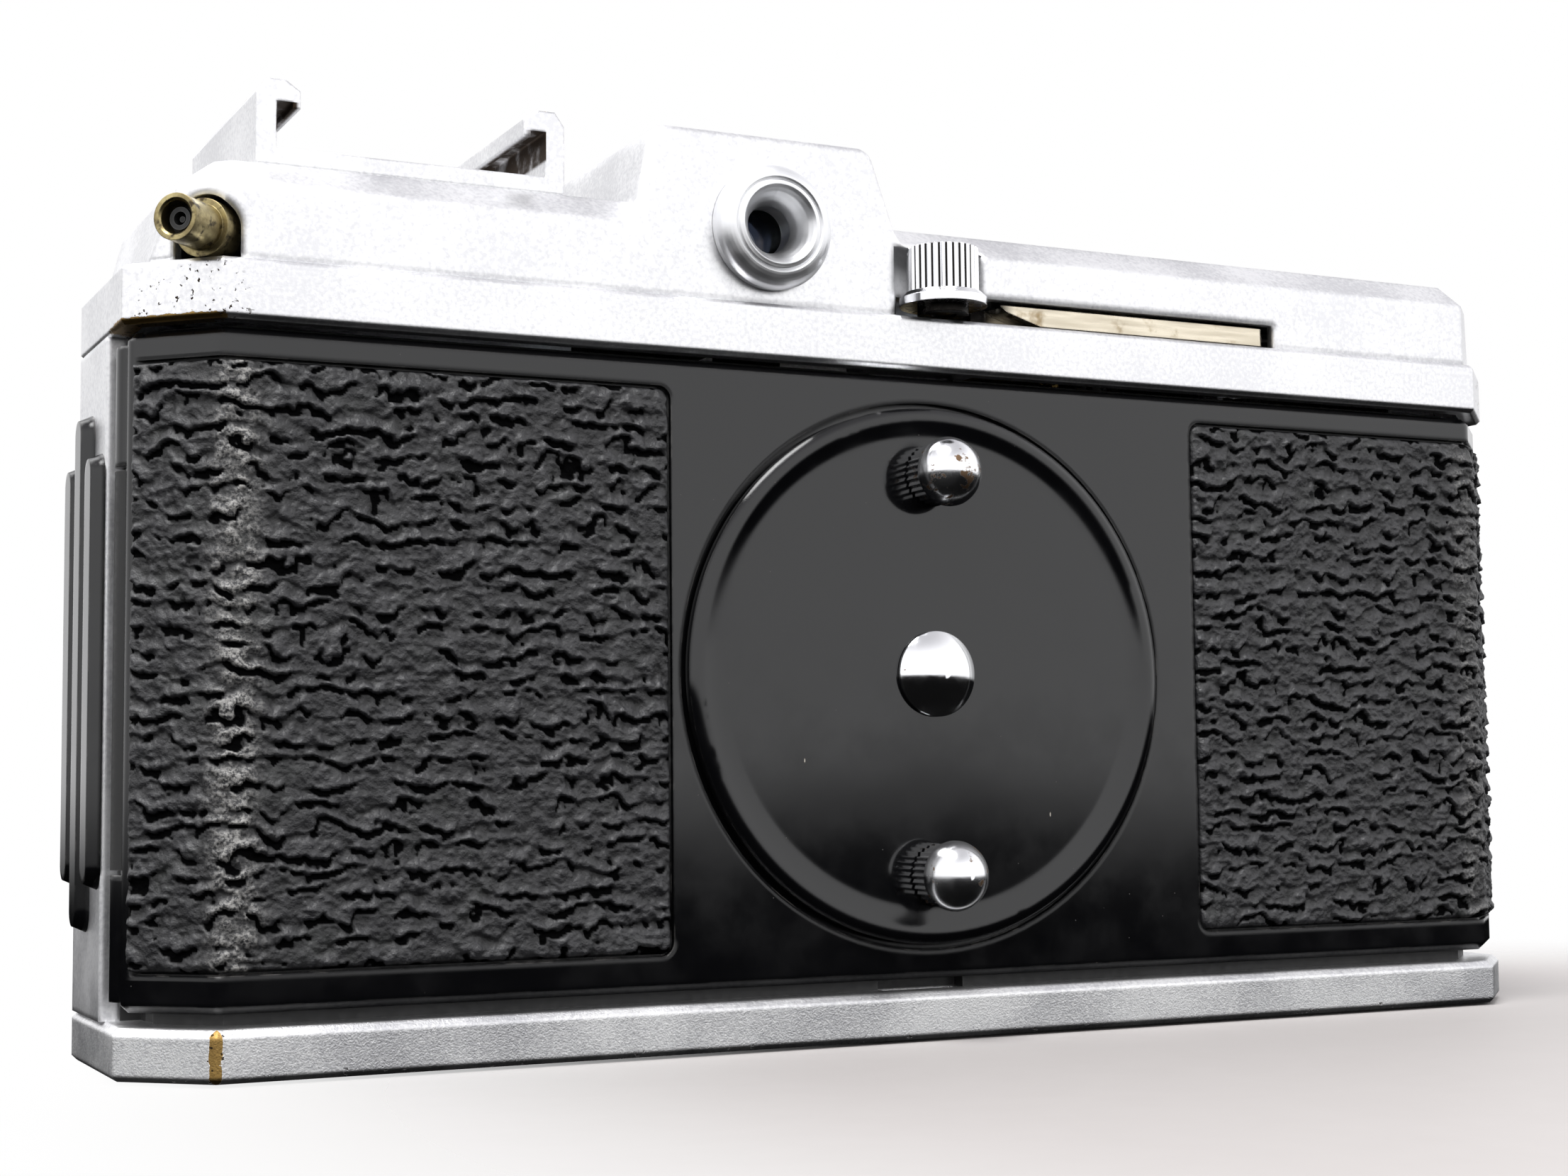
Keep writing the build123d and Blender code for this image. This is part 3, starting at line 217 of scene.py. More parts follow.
def satin_chrome(name, light, dark, grain=0.55, roughness=0.36, worn=None, edge_radius=0.45):
    """Sand-blasted chrome plate: sparkling grain, cloudy patches, brass and pits where worn(paint) says."""
    p = Paint(name)
    blast = p.noise(0.13, 2.0, seed=1)
    clouds = p.noise(9.0, 4.0, seed=2)
    speckle = p.noise(0.3, 3.0, seed=3)
    tone = p.math("MULTIPLY_ADD", clouds, 0.5, p.math("MULTIPLY", speckle, 0.5))
    colour = p.mix(p.ramp(tone, 0.36, 0.62), dark, light)
    rough = p.ramp(clouds, 0.3, 0.7, roughness - 0.04, roughness + 0.06)
    height = blast
    if worn is not None:
        mask, pits = worn(p)
        colour = p.mix(mask, colour, p.mix(p.noise(0.6, seed=8), BRASS, (0.33, 0.2, 0.07)))
        colour = p.mix(pits, colour, PIT)
        rough = p.math("MULTIPLY_ADD", pits, 0.3, rough)
        height = p.math("SUBTRACT", blast, p.math("MULTIPLY", p.math("MAXIMUM", mask, pits), 1.5))
    return p.done(
        base_color=colour, metallic=1.0, roughness=rough,
        normal=p.bump(height, 0.02, grain, p.soft_edge(edge_radius)),
    )


def rubbed(p, region, seed):
    """Brass mask where the region is strong, ragged at its border, and dark pits all over it."""
    fray = p.math("MULTIPLY_ADD", p.noise(0.9, 5.0, seed=seed, roughness=0.7), 1.4, -0.7)
    mask = p.math("MULTIPLY", p.ramp(p.math("ADD", region, fray), 0.62, 0.7), p.ramp(region, 0.1, 0.3))
    specks = p.ramp(p.noise(0.42, 3.0, seed=seed + 1), 0.63, 0.66)
    pits = p.math("MULTIPLY", specks, p.ramp(region, 0.03, 0.2))
    return mask, pits


def band_wear(p):
    """The band is rubbed through along its lower edge at the rewind end, and pitted at both ends."""
    along, up = p.axis("X"), p.axis("Z")
    back = p.ramp(p.axis("Y"), 2.0, 8.0)
    edge = p.math("MULTIPLY", p.ramp(along, 49.5, 54.0), p.ramp(up, 49.75, 49.25))
    above = p.math("MULTIPLY", p.ramp(p.distance((54.0, 49.8), "XZ"), 4.6, 1.0), 0.4)
    far = p.math("MULTIPLY", p.ramp(along, -53.5, -57.5), 0.45)
    region = p.math("MAXIMUM", edge, p.math("MAXIMUM", above, far))
    return rubbed(p, p.math("MULTIPLY", region, back), 32)


def base_wear(p):
    """The base plate is rubbed to brass at its rear corner and browned along its lower edges."""
    corner = p.ramp(p.distance(CORNER, "XY"), 0.75, 0.25)
    lower = p.math("MULTIPLY", p.ramp(p.axis("Z"), 0.75, 0.15), p.ramp(p.noise(5.0, seed=43), 0.42, 0.62))
    ends = p.ramp(p.math("ABSOLUTE", p.axis("X")), 30.0, 54.0, 0.25, 0.55)
    return rubbed(p, p.math("MAXIMUM", corner, p.math("MULTIPLY", lower, ends)), 41)


def shoe_wear(p):
    """The shoe's channel is darker in patches under its lips, whose tops are rubbed in spots."""
    across = p.math("ABSOLUTE", p.math("SUBTRACT", p.axis("X"), SHOE_X))
    up = p.axis("Z")
    inside = p.math("MULTIPLY", p.ramp(across, 8.0, 8.3), p.ramp(across, 9.62, 9.58))
    below = p.math("MULTIPLY", p.ramp(up, 64.55, 64.5), p.ramp(up, 62.3, 62.6))
    patches = p.ramp(p.noise(2.0, 4.0, seed=46), 0.2, 0.55)
    # darker in patches in the channel under the lips
    dark_under_lips = p.math("MULTIPLY", p.math("MULTIPLY", inside, below), patches)
    spots = p.math("MULTIPLY", p.ramp(up, 65.6, 65.95), p.ramp(p.noise(1.2, 4.0, seed=45), 0.6, 0.64))
    return spots, dark_under_lips


def bright_chrome(name, roughness=0.08, tarnish=0.66, lines=None):
    """Polished plate with faint smears, brown tarnish and, round lines=(centre, axes), turned rings."""
    p = Paint(name)
    spots = p.ramp(p.noise(1.1, 5.0, seed=5, roughness=0.65), tarnish, tarnish + 0.05)
    smears = p.noise(2.5, 3.0, seed=6)
    colour = p.mix(spots, p.mix(smears, (0.83, 0.84, 0.86), (0.92, 0.92, 0.93)), (0.2, 0.13, 0.08))
    rough = p.math("MULTIPLY_ADD", spots, 0.3, p.ramp(smears, 0.35, 0.7, roughness, roughness + 0.1))
    height = p.noise(0.5, 2.0, seed=7)
    if lines is not None:
        height = p.math("ADD", height, p.math("SINE", p.math("MULTIPLY", p.distance(*lines), 26.0)))
    return p.done(base_color=colour, metallic=1.0, roughness=rough,
                  normal=p.bump(height, 0.004, 0.5, p.soft_edge(0.12)))


def knurled_chrome():
    """Chrome whose knurl grooves round the knob are painted dark as shade."""
    p = Paint("knurled_chrome")
    tooth = p.math("COSINE", p.math("MULTIPLY", p.angle(KNOB, "XY"), KNURLS))
    beside = p.ramp(p.distance(KNOB, "XY"), 2.95, 2.8)
    groove_shade = p.math("MULTIPLY", p.ramp(tooth, -0.25, -0.85), beside)
    smears = p.noise(2.5, 3.0, seed=6)
    colour = p.mix(smears, (0.83, 0.84, 0.86), (0.92, 0.92, 0.93))
    # painted shade: the knurl grooves go near black
    colour = p.mix(groove_shade, colour, (0.02, 0.018, 0.016))
    rough = p.math("MULTIPLY_ADD", groove_shade, 0.4, 0.14)
    return p.done(base_color=colour, metallic=1.0, roughness=rough, normal=p.soft_edge(0.1))


def aged_brass():
    p = Paint("aged_brass")
    dull = p.noise(1.6, 5.0, seed=11, roughness=0.65)
    dirt = p.ramp(p.noise(0.7, 4.0, seed=12), 0.52, 0.68)
    colour = p.mix(p.ramp(dull, 0.35, 0.65), (0.46, 0.39, 0.2), (0.25, 0.2, 0.1))
    colour = p.mix(dirt, colour, (0.07, 0.055, 0.035))
    return p.done(base_color=colour, metallic=1.0, roughness=p.ramp(dull, 0.3, 0.7, 0.26, 0.48),
                  normal=p.bump(dull, 0.03, 0.5, p.soft_edge(0.1)))


def nickel(name="warm_nickel", shadow_span=None):
    """Warm nickel plate with streaks and stains, painted black as shadow between two given X values."""
    p = Paint(name)
    streaks = p.noise(0.4, 4.0, stretch=(12, 1, 1), seed=14)
    stain = p.ramp(p.noise(2.5, 4.0, seed=15), 0.55, 0.75)
    colour = p.mix(stain, p.mix(streaks, (0.78, 0.72, 0.6), (0.6, 0.53, 0.4)), (0.3, 0.22, 0.12))
    if shadow_span is not None:
        # painted shadow: black between the two X values
        colour = p.mix(p.ramp(p.axis("X"), *shadow_span), colour, (0.012, 0.011, 0.01))
    return p.done(base_color=colour, metallic=1.0, roughness=p.ramp(streaks, 0.3, 0.7, 0.2, 0.4),
                  normal=p.bump(streaks, 0.01, 0.5, p.soft_edge(0.1)))


def gear_brass():
    p = Paint("gear_brass")
    streaks = p.noise(0.3, 3.0, stretch=(1, 1, 8), seed=17)
    colour = p.mix(streaks, (0.62, 0.45, 0.17), (0.42, 0.29, 0.1))
    return p.done(base_color=colour, metallic=1.0, roughness=p.ramp(streaks, 0.3, 0.7, 0.22, 0.4),
                  normal=p.bump(streaks, 0.01, 0.4, p.soft_edge(0.08)))


def black_enamel(name="black_enamel", ticks=None):
    """Stoved gloss enamel: deep black, slow waves, worn edges, dust and small chips down to primer."""
    p = Paint(name)
    waves = p.noise(14.0, 2.0, seed=21)
    haze = p.noise(5.0, 4.0, seed=22)
    chips = p.ramp(p.cells(3.6, (0.5, 1, 1.6), seed=23), 0.035, 0.02)
    chips = p.math("MULTIPLY", chips, p.ramp(p.noise(9.0, seed=24), 0.56, 0.6))
    dust = p.ramp(p.cells(1.7, seed=25), 0.03, 0.015)
    rub = p.math("MULTIPLY", p.edge(0.25, 0.03, 0.25), p.ramp(p.noise(2.4, 5.0, seed=26), 0.5, 0.62))
    colour = p.mix(haze, (0.0018, 0.0019, 0.0024), (0.004, 0.004, 0.0046))
    colour = p.mix(p.math("MULTIPLY", dust, 0.5), colour, (0.16, 0.15, 0.14))
    colour = p.mix(p.math("MULTIPLY", rub, 0.55), colour, (0.19, 0.18, 0.17))
    colour = p.mix(chips, colour, (0.5, 0.46, 0.4))
    if ticks is not None:
        colour = p.mix(ticks(p), colour, (0.85, 0.85, 0.82))
    rough = p.math("MULTIPLY_ADD", p.math("MAXIMUM", dust, chips), 0.4, p.ramp(haze, 0.35, 0.7, 0.07, 0.14))
    height = p.math("SUBTRACT", waves, p.math("MULTIPLY", chips, 0.4))
    return p.done(base_color=colour, roughness=rough, coat_weight=0.15, coat_roughness=0.05,
                  normal=p.bump(height, 0.06, 0.35, p.soft_edge(0.5)))


def dull_black(name, tone=0.02, roughness=0.55, size=0.4, metallic=0.0):
    """Matt black lacquer or plastic with a fine mottle, greyer on the edges."""
    p = Paint(name)
    mottle = p.noise(size, 4.0, seed=27)
    colour = p.mix(mottle, [tone * 0.6] * 3, [tone * 1.4] * 3)
    colour = p.mix(p.math("MULTIPLY", p.edge(0.15), 0.6), colour, [tone * 5] * 3)
    return p.done(base_color=colour, metallic=metallic,
                  roughness=p.ramp(mottle, 0.3, 0.7, roughness - 0.08, roughness + 0.08),
                  normal=p.bump(mottle, 0.01, 0.5))


def glass(name, tint=(0.93, 0.96, 0.98), film=120.0):
    """Coated optical glass with faint dust."""
    p = Paint(name)
    dust = p.ramp(p.noise(0.8, 5.0, seed=28), 0.6, 0.8)
    return p.done(base_color=tint, transmission_weight=1.0, ior=1.52, thin_film_thickness=film,
                  thin_film_ior=1.38, roughness=p.ramp(dust, 0.0, 1.0, 0.01, 0.06))


def silvered():
    p = Paint("silvered")
    age = p.noise(1.5, 4.0, seed=29)
    return p.done(base_color=p.mix(age, (0.86, 0.84, 0.76), (0.78, 0.8, 0.82)), metallic=1.0,
                  roughness=p.ramp(age, 0.4, 0.8, 0.02, 0.08))


def scale_marks(count, radius, letters="XZ", centre=LENS_AXIS, width=0.2):
    """Ticks of a dial: count marks round centre, between two radii, every fifth one longer."""
    def draw(p):
        turn = p.math("MULTIPLY", p.angle(centre, letters), count / (2 * math.pi))
        off = p.math("ABSOLUTE", p.math("SUBTRACT", turn, p.math("ROUND", turn)))
        from_line = p.math("MULTIPLY", off, 2 * math.pi * radius[1] / count)
        line = p.ramp(from_line, width / 2 + 0.04, width / 2)
        fifth = p.math("ABSOLUTE", p.math("SUBTRACT", p.math("DIVIDE", turn, 5.0),
                                          p.math("ROUND", p.math("DIVIDE", turn, 5.0))))
        inner = p.ramp(fifth, 0.02, 0.1, radius[0], (radius[0] + radius[1]) / 2)
        out = p.distance(centre, letters)
        outer = p.ramp(out, radius[1] + 0.05, radius[1])
        return p.math("MULTIPLY", line, p.math("MULTIPLY", p.math("GREATER_THAN", out, inner), outer))
    return draw


WHITE, GREY = (0.93, 0.93, 0.94), (0.72, 0.72, 0.74)
wear("top_housing", satin_chrome("satin_top", WHITE, GREY, 0.35, 0.34, edge_radius=0.8))
wear("accessory_shoe", satin_chrome("satin_shoe", WHITE, GREY, 0.35, 0.34, shoe_wear, 0.3))
wear("end_plates", satin_chrome("satin_ends", WHITE, GREY, 0.4, 0.36, edge_radius=0.5))
wear("top_band", satin_chrome("satin_band", WHITE, GREY, 0.35, 0.34, band_wear, 0.3))
BASE_LIGHT, BASE_DARK = (0.98, 0.98, 0.98), (0.68, 0.68, 0.7)
wear("base_plate", satin_chrome("satin_base", BASE_LIGHT, BASE_DARK, 0.9, 0.38, base_wear, 0.35))
wear("eyepiece_ring", bright_chrome("turned_chrome", 0.36, 0.78, (EYEPIECE, "XZ")))
wear("lens_flange shutter_housing lens_barrel front_cell focus_ring aperture_ring speed_ring",
     bright_chrome("lens_chrome", 0.16, 0.76, (LENS_AXIS, "XZ")))
wear("window_frames lock_screw release_button base_screws shoe_screws rewind_key rewind_release hinge_pin",
     bright_chrome("bright_chrome"))
wear("lock_pegs", bright_chrome("worn_pegs", 0.16, 0.6))
wear("advance_knob", knurled_chrome())
wear("back_door lock_disc end_ribs", black_enamel())
wear("shutter_face", black_enamel("engraved_enamel", scale_marks(60, (19.8, 21.8))))
wear("flash_barrel", aged_brass())
wear("flash_contact", dull_black("contact_black", 0.02, 0.5))
wear("advance_arm", nickel("lever_nickel", KNOB_SHADE))
wear("lever_post lock_cam lock_bolt_top lock_bolt_bottom tripod_bush", nickel())

slots = {s["node"]: s["material_slot"] for s in frame["record"]["subparts"]}
kinds = {
    "black_lacquer": dull_black("black_lacquer", 0.018, 0.5),
    "brass": gear_brass(),
    "nickel": bpy.data.materials["warm_nickel"],
    "spool_plastic": dull_black("spool_plastic", 0.015, 0.35, 1.5),
    "optical_glass": glass("optical_glass"),
    "mirror": silvered(),
    "bright_chrome": bpy.data.materials["bright_chrome"],
    "satin_chrome": bpy.data.materials["satin_top"],
    "black_enamel": bpy.data.materials["black_enamel"],
    "vulcanite": dull_black("vulcanite_plain", 0.02, 0.5),
}
for name in nodes.keys() - painted:
    wear(name, kinds[slots[name]])
wear("counter_dial", dull_black("dial_black", 0.01, 0.4))
wear("shutter_blades iris_blades", dull_black("blade_steel", 0.06, 0.34, 2.0, metallic=0.7))


# ---- grained leather ----------------------------------------------------------------------
def lattice_noise(x, y, seed):
    """Smooth gradient noise over a unit lattice, about -0.7 to 0.7, the same for the same seed."""
    rng = np.random.RandomState(seed)
    turn = rng.rand(256, 256) * 2 * np.pi
    ix, iy = np.floor(x).astype(int), np.floor(y).astype(int)
    fx, fy = x - ix, y - iy
    sx, sy = fx * fx * fx * (fx * (fx * 6 - 15) + 10), fy * fy * fy * (fy * (fy * 6 - 15) + 10)

    def corner(dx, dy):
        a = turn[(ix + dx) % 256, (iy + dy) % 256]
        return np.cos(a) * (fx - dx) + np.sin(a) * (fy - dy)

    low = corner(0, 0) + sx * (corner(1, 0) - corner(0, 0))
    high = corner(0, 1) + sx * (corner(1, 1) - corner(0, 1))
    return low + sy * (high - low)


def smooth(value, low, high):
    """0 up to low, 1 from high, smooth in between; high may be the smaller one."""
    share = np.clip((value - low) / (high - low), 0, 1)
    return share * share * (3 - 2 * share)


ROW = 1.45                  # height of one row of lumps in the grain


def grain(s, z, seed):
    """Relief and painted crease shadow of the vulcanite at (s along the panel, z up).

    Rows of broken lumps overlap downwards like shingles: each swells towards its lower lip, and a deep
    crease runs under the lip. Relief is a share of the full depth; the painted crease shadow is 0 in the
    creases, else 1.
    """
    drift = 0.8 * lattice_noise(s / 3.6, z / 2.6, seed + 1)
    drift += 0.6 * lattice_noise(s / 1.7, z / 1.4, seed + 2)
    drift += 0.24 * lattice_noise(s / 0.6, z / 0.7, seed + 3)
    phase = z / ROW + drift
    row = np.floor(phase)
    share = phase - row
    below_lip = (1 - share) / np.maximum(np.gradient(phase, z[0], axis=1), 0.3)

    def strength(of_row):
        """How far the lip of a row stands out here; lips come and go along each row."""
        wave = lattice_noise(s / 1.7 + of_row * 7.31, of_row * 3.17 + 0.5, seed + 4)
        wave += 0.45 * lattice_noise(s / 0.7 + of_row * 5.13, z / 0.9, seed + 8)
        return smooth(wave, -0.22, 0.22)

    here, above = strength(row), strength(row + 1)
    lip = smooth(share, 0.0, 0.1) * (1 - smooth(share, 0.1, 1.0) * 0.85)
    swell = 0.3 * lattice_noise(s / 1.1, z / 0.8, seed + 5)
    pebble = np.abs(lattice_noise(s / 0.6, z / 0.5, seed + 6)) * 0.4
    grit = 0.08 * lattice_noise(s / 0.26, z / 0.26, seed + 7)
    relief = 0.12 + here * 0.68 * lip + (1 - here) * 0.34 + swell + pebble + grit
    depth = 0.12 + 0.34 * above
    under = smooth(below_lip, depth, depth - 0.12) * smooth(above, 0.2, 0.5)
    foot = (1 - smooth(share, 0.0, 0.1)) * smooth(here, 0.2, 0.6)
    # painted shadow: the second value goes to 0 under the lips and at each row's foot
    return np.clip(relief, 0, 1) * (1 - 0.6 * under), 1 - np.maximum(under, foot)


def leather_material():
    """Black vulcanite: dull lumps painted lighter towards their crests as a highlight, a patchy charcoal
    bloom, creases painted black as shadow, scuffed grey along the bend.
    """
    p = Paint("vulcanite")
    height = p.add("ShaderNodeAttribute", attribute_name="relief").outputs["Fac"]
    unshadowed = p.add("ShaderNodeAttribute", attribute_name="unshadowed").outputs["Fac"]
    bend = p.add("ShaderNodeAttribute", attribute_name="bend").outputs["Fac"]
    fine = p.noise(0.22, 4.0, seed=51)
    patches = p.noise(3.0, 4.0, seed=52)
    # painted highlight: the lumps are lighter towards their crests
    colour = p.mix(p.ramp(height, 0.15, 0.8), (0.003, 0.003, 0.0035), (0.02, 0.02, 0.0225))
    colour = p.mix(p.math("MULTIPLY", p.ramp(patches, 0.5, 0.7), 0.3), colour, (0.036, 0.039, 0.036))
    rubbed_off = p.math("MULTIPLY", bend, p.ramp(fine, 0.38, 0.62))
    scuff = p.math("MULTIPLY", p.ramp(height, 0.3, 0.75), rubbed_off)
    colour = p.mix(p.math("MULTIPLY", scuff, 0.85), colour, (0.42, 0.41, 0.39))
    # painted shadow: black in the creases under the lips
    colour = p.mix(p.ramp(unshadowed, 0.15, 0.75), (0.0008, 0.0008, 0.001), colour)
    rough = p.math("MULTIPLY_ADD", fine, 0.3, p.ramp(height, 0.2, 0.9, 0.42, 0.26))
    # the painted crease shadow also takes the reflection out of the creases
    return p.done(base_color=colour, roughness=rough, normal=p.bump(fine, 0.12, 0.7),
                  specular_ior_level=p.ramp(unshadowed, 0.1, 0.8, 0.03, 0.65))


VULCANITE = leather_material()
FACE_Y = 14.2               # the leather's creases lie this far back, its lumps stand up to 0.62 mm prouder
STEP = 0.13                 # spacing of the sheets' points


def leather_sheet(name, path, normals, heights, seed, body, node, corner_r=0.9,
                  round_ends=(True, False), hole=None, bend=None, relief=0.62, floor=0.75, step=STEP):
    """Piece along path (x, y pairs) between two heights, its face grained, its rim rolled down and skirted
    behind.
    """
    lengths = np.concatenate([[0], np.cumsum(np.linalg.norm(np.diff(path, axis=0), axis=1))])
    rows = int((heights[1] - heights[0]) / step) + 1
    z = np.linspace(heights[0], heights[1], rows)
    s_grid, z_grid = np.meshgrid(lengths, z, indexing="ij")
    # distance from the rim, with rounded corners at the ends that have them
    from_z = np.minimum(z_grid - heights[0], heights[1] - z_grid)
    from_rim = from_z.copy()
    for at_start, rounded in zip((True, False), round_ends):
        from_s = s_grid if at_start else lengths[-1] - s_grid
        rim = np.minimum(from_s, from_z)
        if rounded:
            in_corner = (from_s < corner_r) & (from_z < corner_r)
            arc = corner_r - np.hypot(corner_r - from_s, corner_r - from_z)
            rim = np.where(in_corner, arc, rim)
        from_rim = np.minimum(from_rim, rim)
    x0, y0 = path[:, 0][:, None] + 0 * z_grid, path[:, 1][:, None] + 0 * z_grid
    if hole is not None:
        radius = np.hypot(x0 - hole[0], z_grid - hole[1])
        from_rim = np.minimum(from_rim, radius - hole[2])
    roll = np.clip(from_rim / 0.55, 0, 1)
    roll = np.sqrt(1 - (1 - roll) ** 2)
    bumps, unshadowed = grain(s_grid, z_grid, seed)
    out = roll * (relief * bumps) - (1 - roll) * 0.25
    x = x0 + normals[:, 0][:, None] * out
    y = y0 + normals[:, 1][:, None] * out
    columns = len(lengths)
    front = np.stack([x, y, z_grid], axis=-1).reshape(-1, 3)
    keep = np.ones((columns - 1, rows - 1), bool)
    if hole is not None:
        inside = radius < hole[2]
        keep = ~(inside[:-1, :-1] & inside[1:, :-1] & inside[:-1, 1:] & inside[1:, 1:])
        snapped = np.where(inside, hole[2] / np.maximum(radius, 1e-6), 1.0)
        front[:, 0] = (hole[0] + (x - hole[0]) * snapped).ravel()
        front[:, 2] = (hole[1] + (z_grid - hole[1]) * snapped).ravel()
    index = np.arange(columns * rows).reshape(columns, rows)
    quads = np.stack([index[:-1, :-1], index[1:, :-1], index[1:, 1:], index[:-1, 1:]], axis=-1)
    quads = quads[keep].tolist()
    mesh = bpy.data.meshes.new(name)
    mesh.from_pydata((front * MM).tolist(), [], quads)
    scuffs = 0 * bumps if bend is None else bend(s_grid, z_grid)
    for attribute, values in (("relief", bumps), ("unshadowed", unshadowed), ("bend", scuffs)):
        layer = mesh.attributes.new(attribute, "FLOAT", "POINT")
        layer.data.foreach_set("value", values.ravel().astype(np.float32))
    piece = bpy.data.objects.new(name, mesh)
    bpy.context.scene.collection.objects.link(piece)
    mesh.materials.append(VULCANITE)
    close_behind(piece, floor)
    for polygon in mesh.polygons:
        polygon.use_smooth = True
    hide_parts(node)
    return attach(piece, body)


def close_behind(piece, floor):
    """Adds the skirt round the sheet's open rim, reaching back floor mm below the face."""
    mesh = bmesh.new()
    mesh.from_mesh(piece.data)
    loose = [v for v in mesh.verts if not v.link_faces]
    bmesh.ops.delete(mesh, geom=loose, context="VERTS")
    rim = [e for e in mesh.edges if e.is_boundary]
    made = bmesh.ops.extrude_edge_only(mesh, edges=rim)["geom"]
    centre_y = sum(v.co.y for v in mesh.verts) / len(mesh.verts)
    for v in (g for g in made if isinstance(g, bmesh.types.BMVert)):
        direction = Vector((0, 1 if centre_y > 0 else -1, 0))
        if abs(v.co.x) > CORNER[0] * MM:
            direction = Vector((math.copysign(0.8, v.co.x), 0.6, 0))
        v.co -= direction * floor * MM
    mesh.to_mesh(piece.data)
    mesh.free()


def rounded_path(points, radius):
    """Even points along a polyline whose inner corners are rounded, and the direction along it at each."""
    samples = []
    for i, point in enumerate(points):
        here = Vector(point)
        if i in (0, len(points) - 1):
            samples.append(here)
            continue
        back = (Vector(points[i - 1]) - here).normalized()
        ahead = (Vector(points[i + 1]) - here).normalized()
        half = math.acos(back.dot(ahead)) / 2
        reach = radius / math.tan(half)
        middle = here + (back + ahead).normalized() * radius / math.sin(half)
        start, end = here + back * reach, here + ahead * reach
        for k in range(9):
            spot = start.lerp(end, k / 8) - middle
            samples.append(middle + spot.normalized() * radius)
    line = np.array([tuple(v) for v in samples])
    lengths = np.concatenate([[0], np.cumsum(np.linalg.norm(np.diff(line, axis=0), axis=1))])
    even = np.linspace(0, lengths[-1], int(lengths[-1] / STEP) + 1)
    path = np.stack([np.interp(even, lengths, line[:, 0]), np.interp(even, lengths, line[:, 1])], axis=-1)
    along = np.gradient(path, axis=0)
    along /= np.linalg.norm(along, axis=1)[:, None]
    return path, along


def door_sheet(name, inner_x, side, seed):
    """Leather of the back door from inner_x round the corner of its end."""
    shift = CORNER[1] - FACE_Y
    shrink = (2 - math.sqrt(2)) * shift
    corner_x, end_x = side * (CORNER[0] - shift + shrink), side * (58.0 - shift)
    corner_y, end_y = FACE_Y, CORNER[1] - shift - (5.2 - shrink)
    path, along = rounded_path([(inner_x, FACE_Y), (corner_x, corner_y), (end_x, end_y + 0.25)], 1.6)
    normals = np.stack([-along[:, 1], along[:, 0]], axis=-1) * side
    bend_s = abs(corner_x - inner_x)

    def scuffed(s, z):
        wander = 0.5 * lattice_noise(z / 4.0, 0 * z + seed, seed)
        return np.exp(-(((s - bend_s + 0.9 + wander) / 1.3) ** 2)) * (1.0 if side > 0 else 0.35)

    return leather_sheet(name, path, normals, (6.9, 46.5), seed, "back_door",
                         "door_leather_left" if side > 0 else "door_leather_right", bend=scuffed)


door_sheet("grained_leather_left", 20.9, 1, 7)
door_sheet("grained_leather_right", -23.9, -1, 19)

FRONT_HALF, FRONT_STEP = 47.6, 0.25
front_x = np.linspace(-FRONT_HALF, FRONT_HALF, int(2 * FRONT_HALF / FRONT_STEP) + 1)
front_path = np.stack([front_x, np.full_like(front_x, -13.45)], axis=-1)
front_normals = np.tile([0.0, -1.0], (len(front_path), 1))
leather_sheet("grained_leather_front", front_path, front_normals, (3.9, 48.55), 31, "camera_body",
              "front_leather", corner_r=0.5, round_ends=(False, False), hole=(*LENS_AXIS, 21.0),
              step=FRONT_STEP, floor=0.6)


# ---- studio -------------------------------------------------------------------------------
def build_floor():
    """Pale floor whose grey, round a point beside the camera, is a painted shadow; it thins out to the white
    surroundings away from there.
    """
    reach = 1.2
    rings = [reach * k / 24 for k in range(25)]
    verts, faces = [(0, 0, 0)], []
    around = 48
    turns = [2 * math.pi * k / around for k in range(around)]
    for radius in rings[1:]:
        verts += [(radius * math.cos(turn), radius * math.sin(turn), 0) for turn in turns]
    for k in range(around):
        faces.append((0, 1 + k, 1 + (k + 1) % around))
    for ring in range(len(rings) - 2):
        a, b = 1 + ring * around, 1 + (ring + 1) * around
        for k in range(around):
            n = (k + 1) % around
            faces.append((a + k, b + k, b + n, a + n))
    mesh = bpy.data.meshes.new("floor")
    mesh.from_pydata(verts, [], faces)
    floor = bpy.data.objects.new("floor", mesh)
    bpy.context.scene.collection.objects.link(floor)
    p = Paint("floor_painted_shadow")
    # painted shadow: the floor's grey where the camera's shadow falls
    floor_shadow_grey = p.mix(p.noise(3.0, seed=61), (0.44, 0.415, 0.405), (0.46, 0.435, 0.425))
    p.feed(p.shader.inputs["Base Color"], floor_shadow_grey)
    p.shader.inputs["Roughness"].default_value = 0.6
    clear = p.add("ShaderNodeBsdfTransparent")
    fade = p.add("ShaderNodeMixShader")
    # the painted shadow fades out between 60 and 118 mm from (-45, 50) mm
    p.feed(fade.inputs[0], p.ramp(p.distance((-45.0, 50.0), "XY"), 60.0, 118.0))
    p.tree.links.new(p.shader.outputs[0], fade.inputs[1])
    p.tree.links.new(clear.outputs[0], fade.inputs[2])
    output = p.add("ShaderNodeOutputMaterial")
    p.tree.links.new(fade.outputs[0], output.inputs["Surface"])
    mesh.materials.append(p.material)
    floor.location.z = cad_box[0].z - 0.0002
    floor.visible_glossy = False
    floor.visible_diffuse = False


WALL_LIGHT, CEILING_LIGHT = 1.42, 0.7


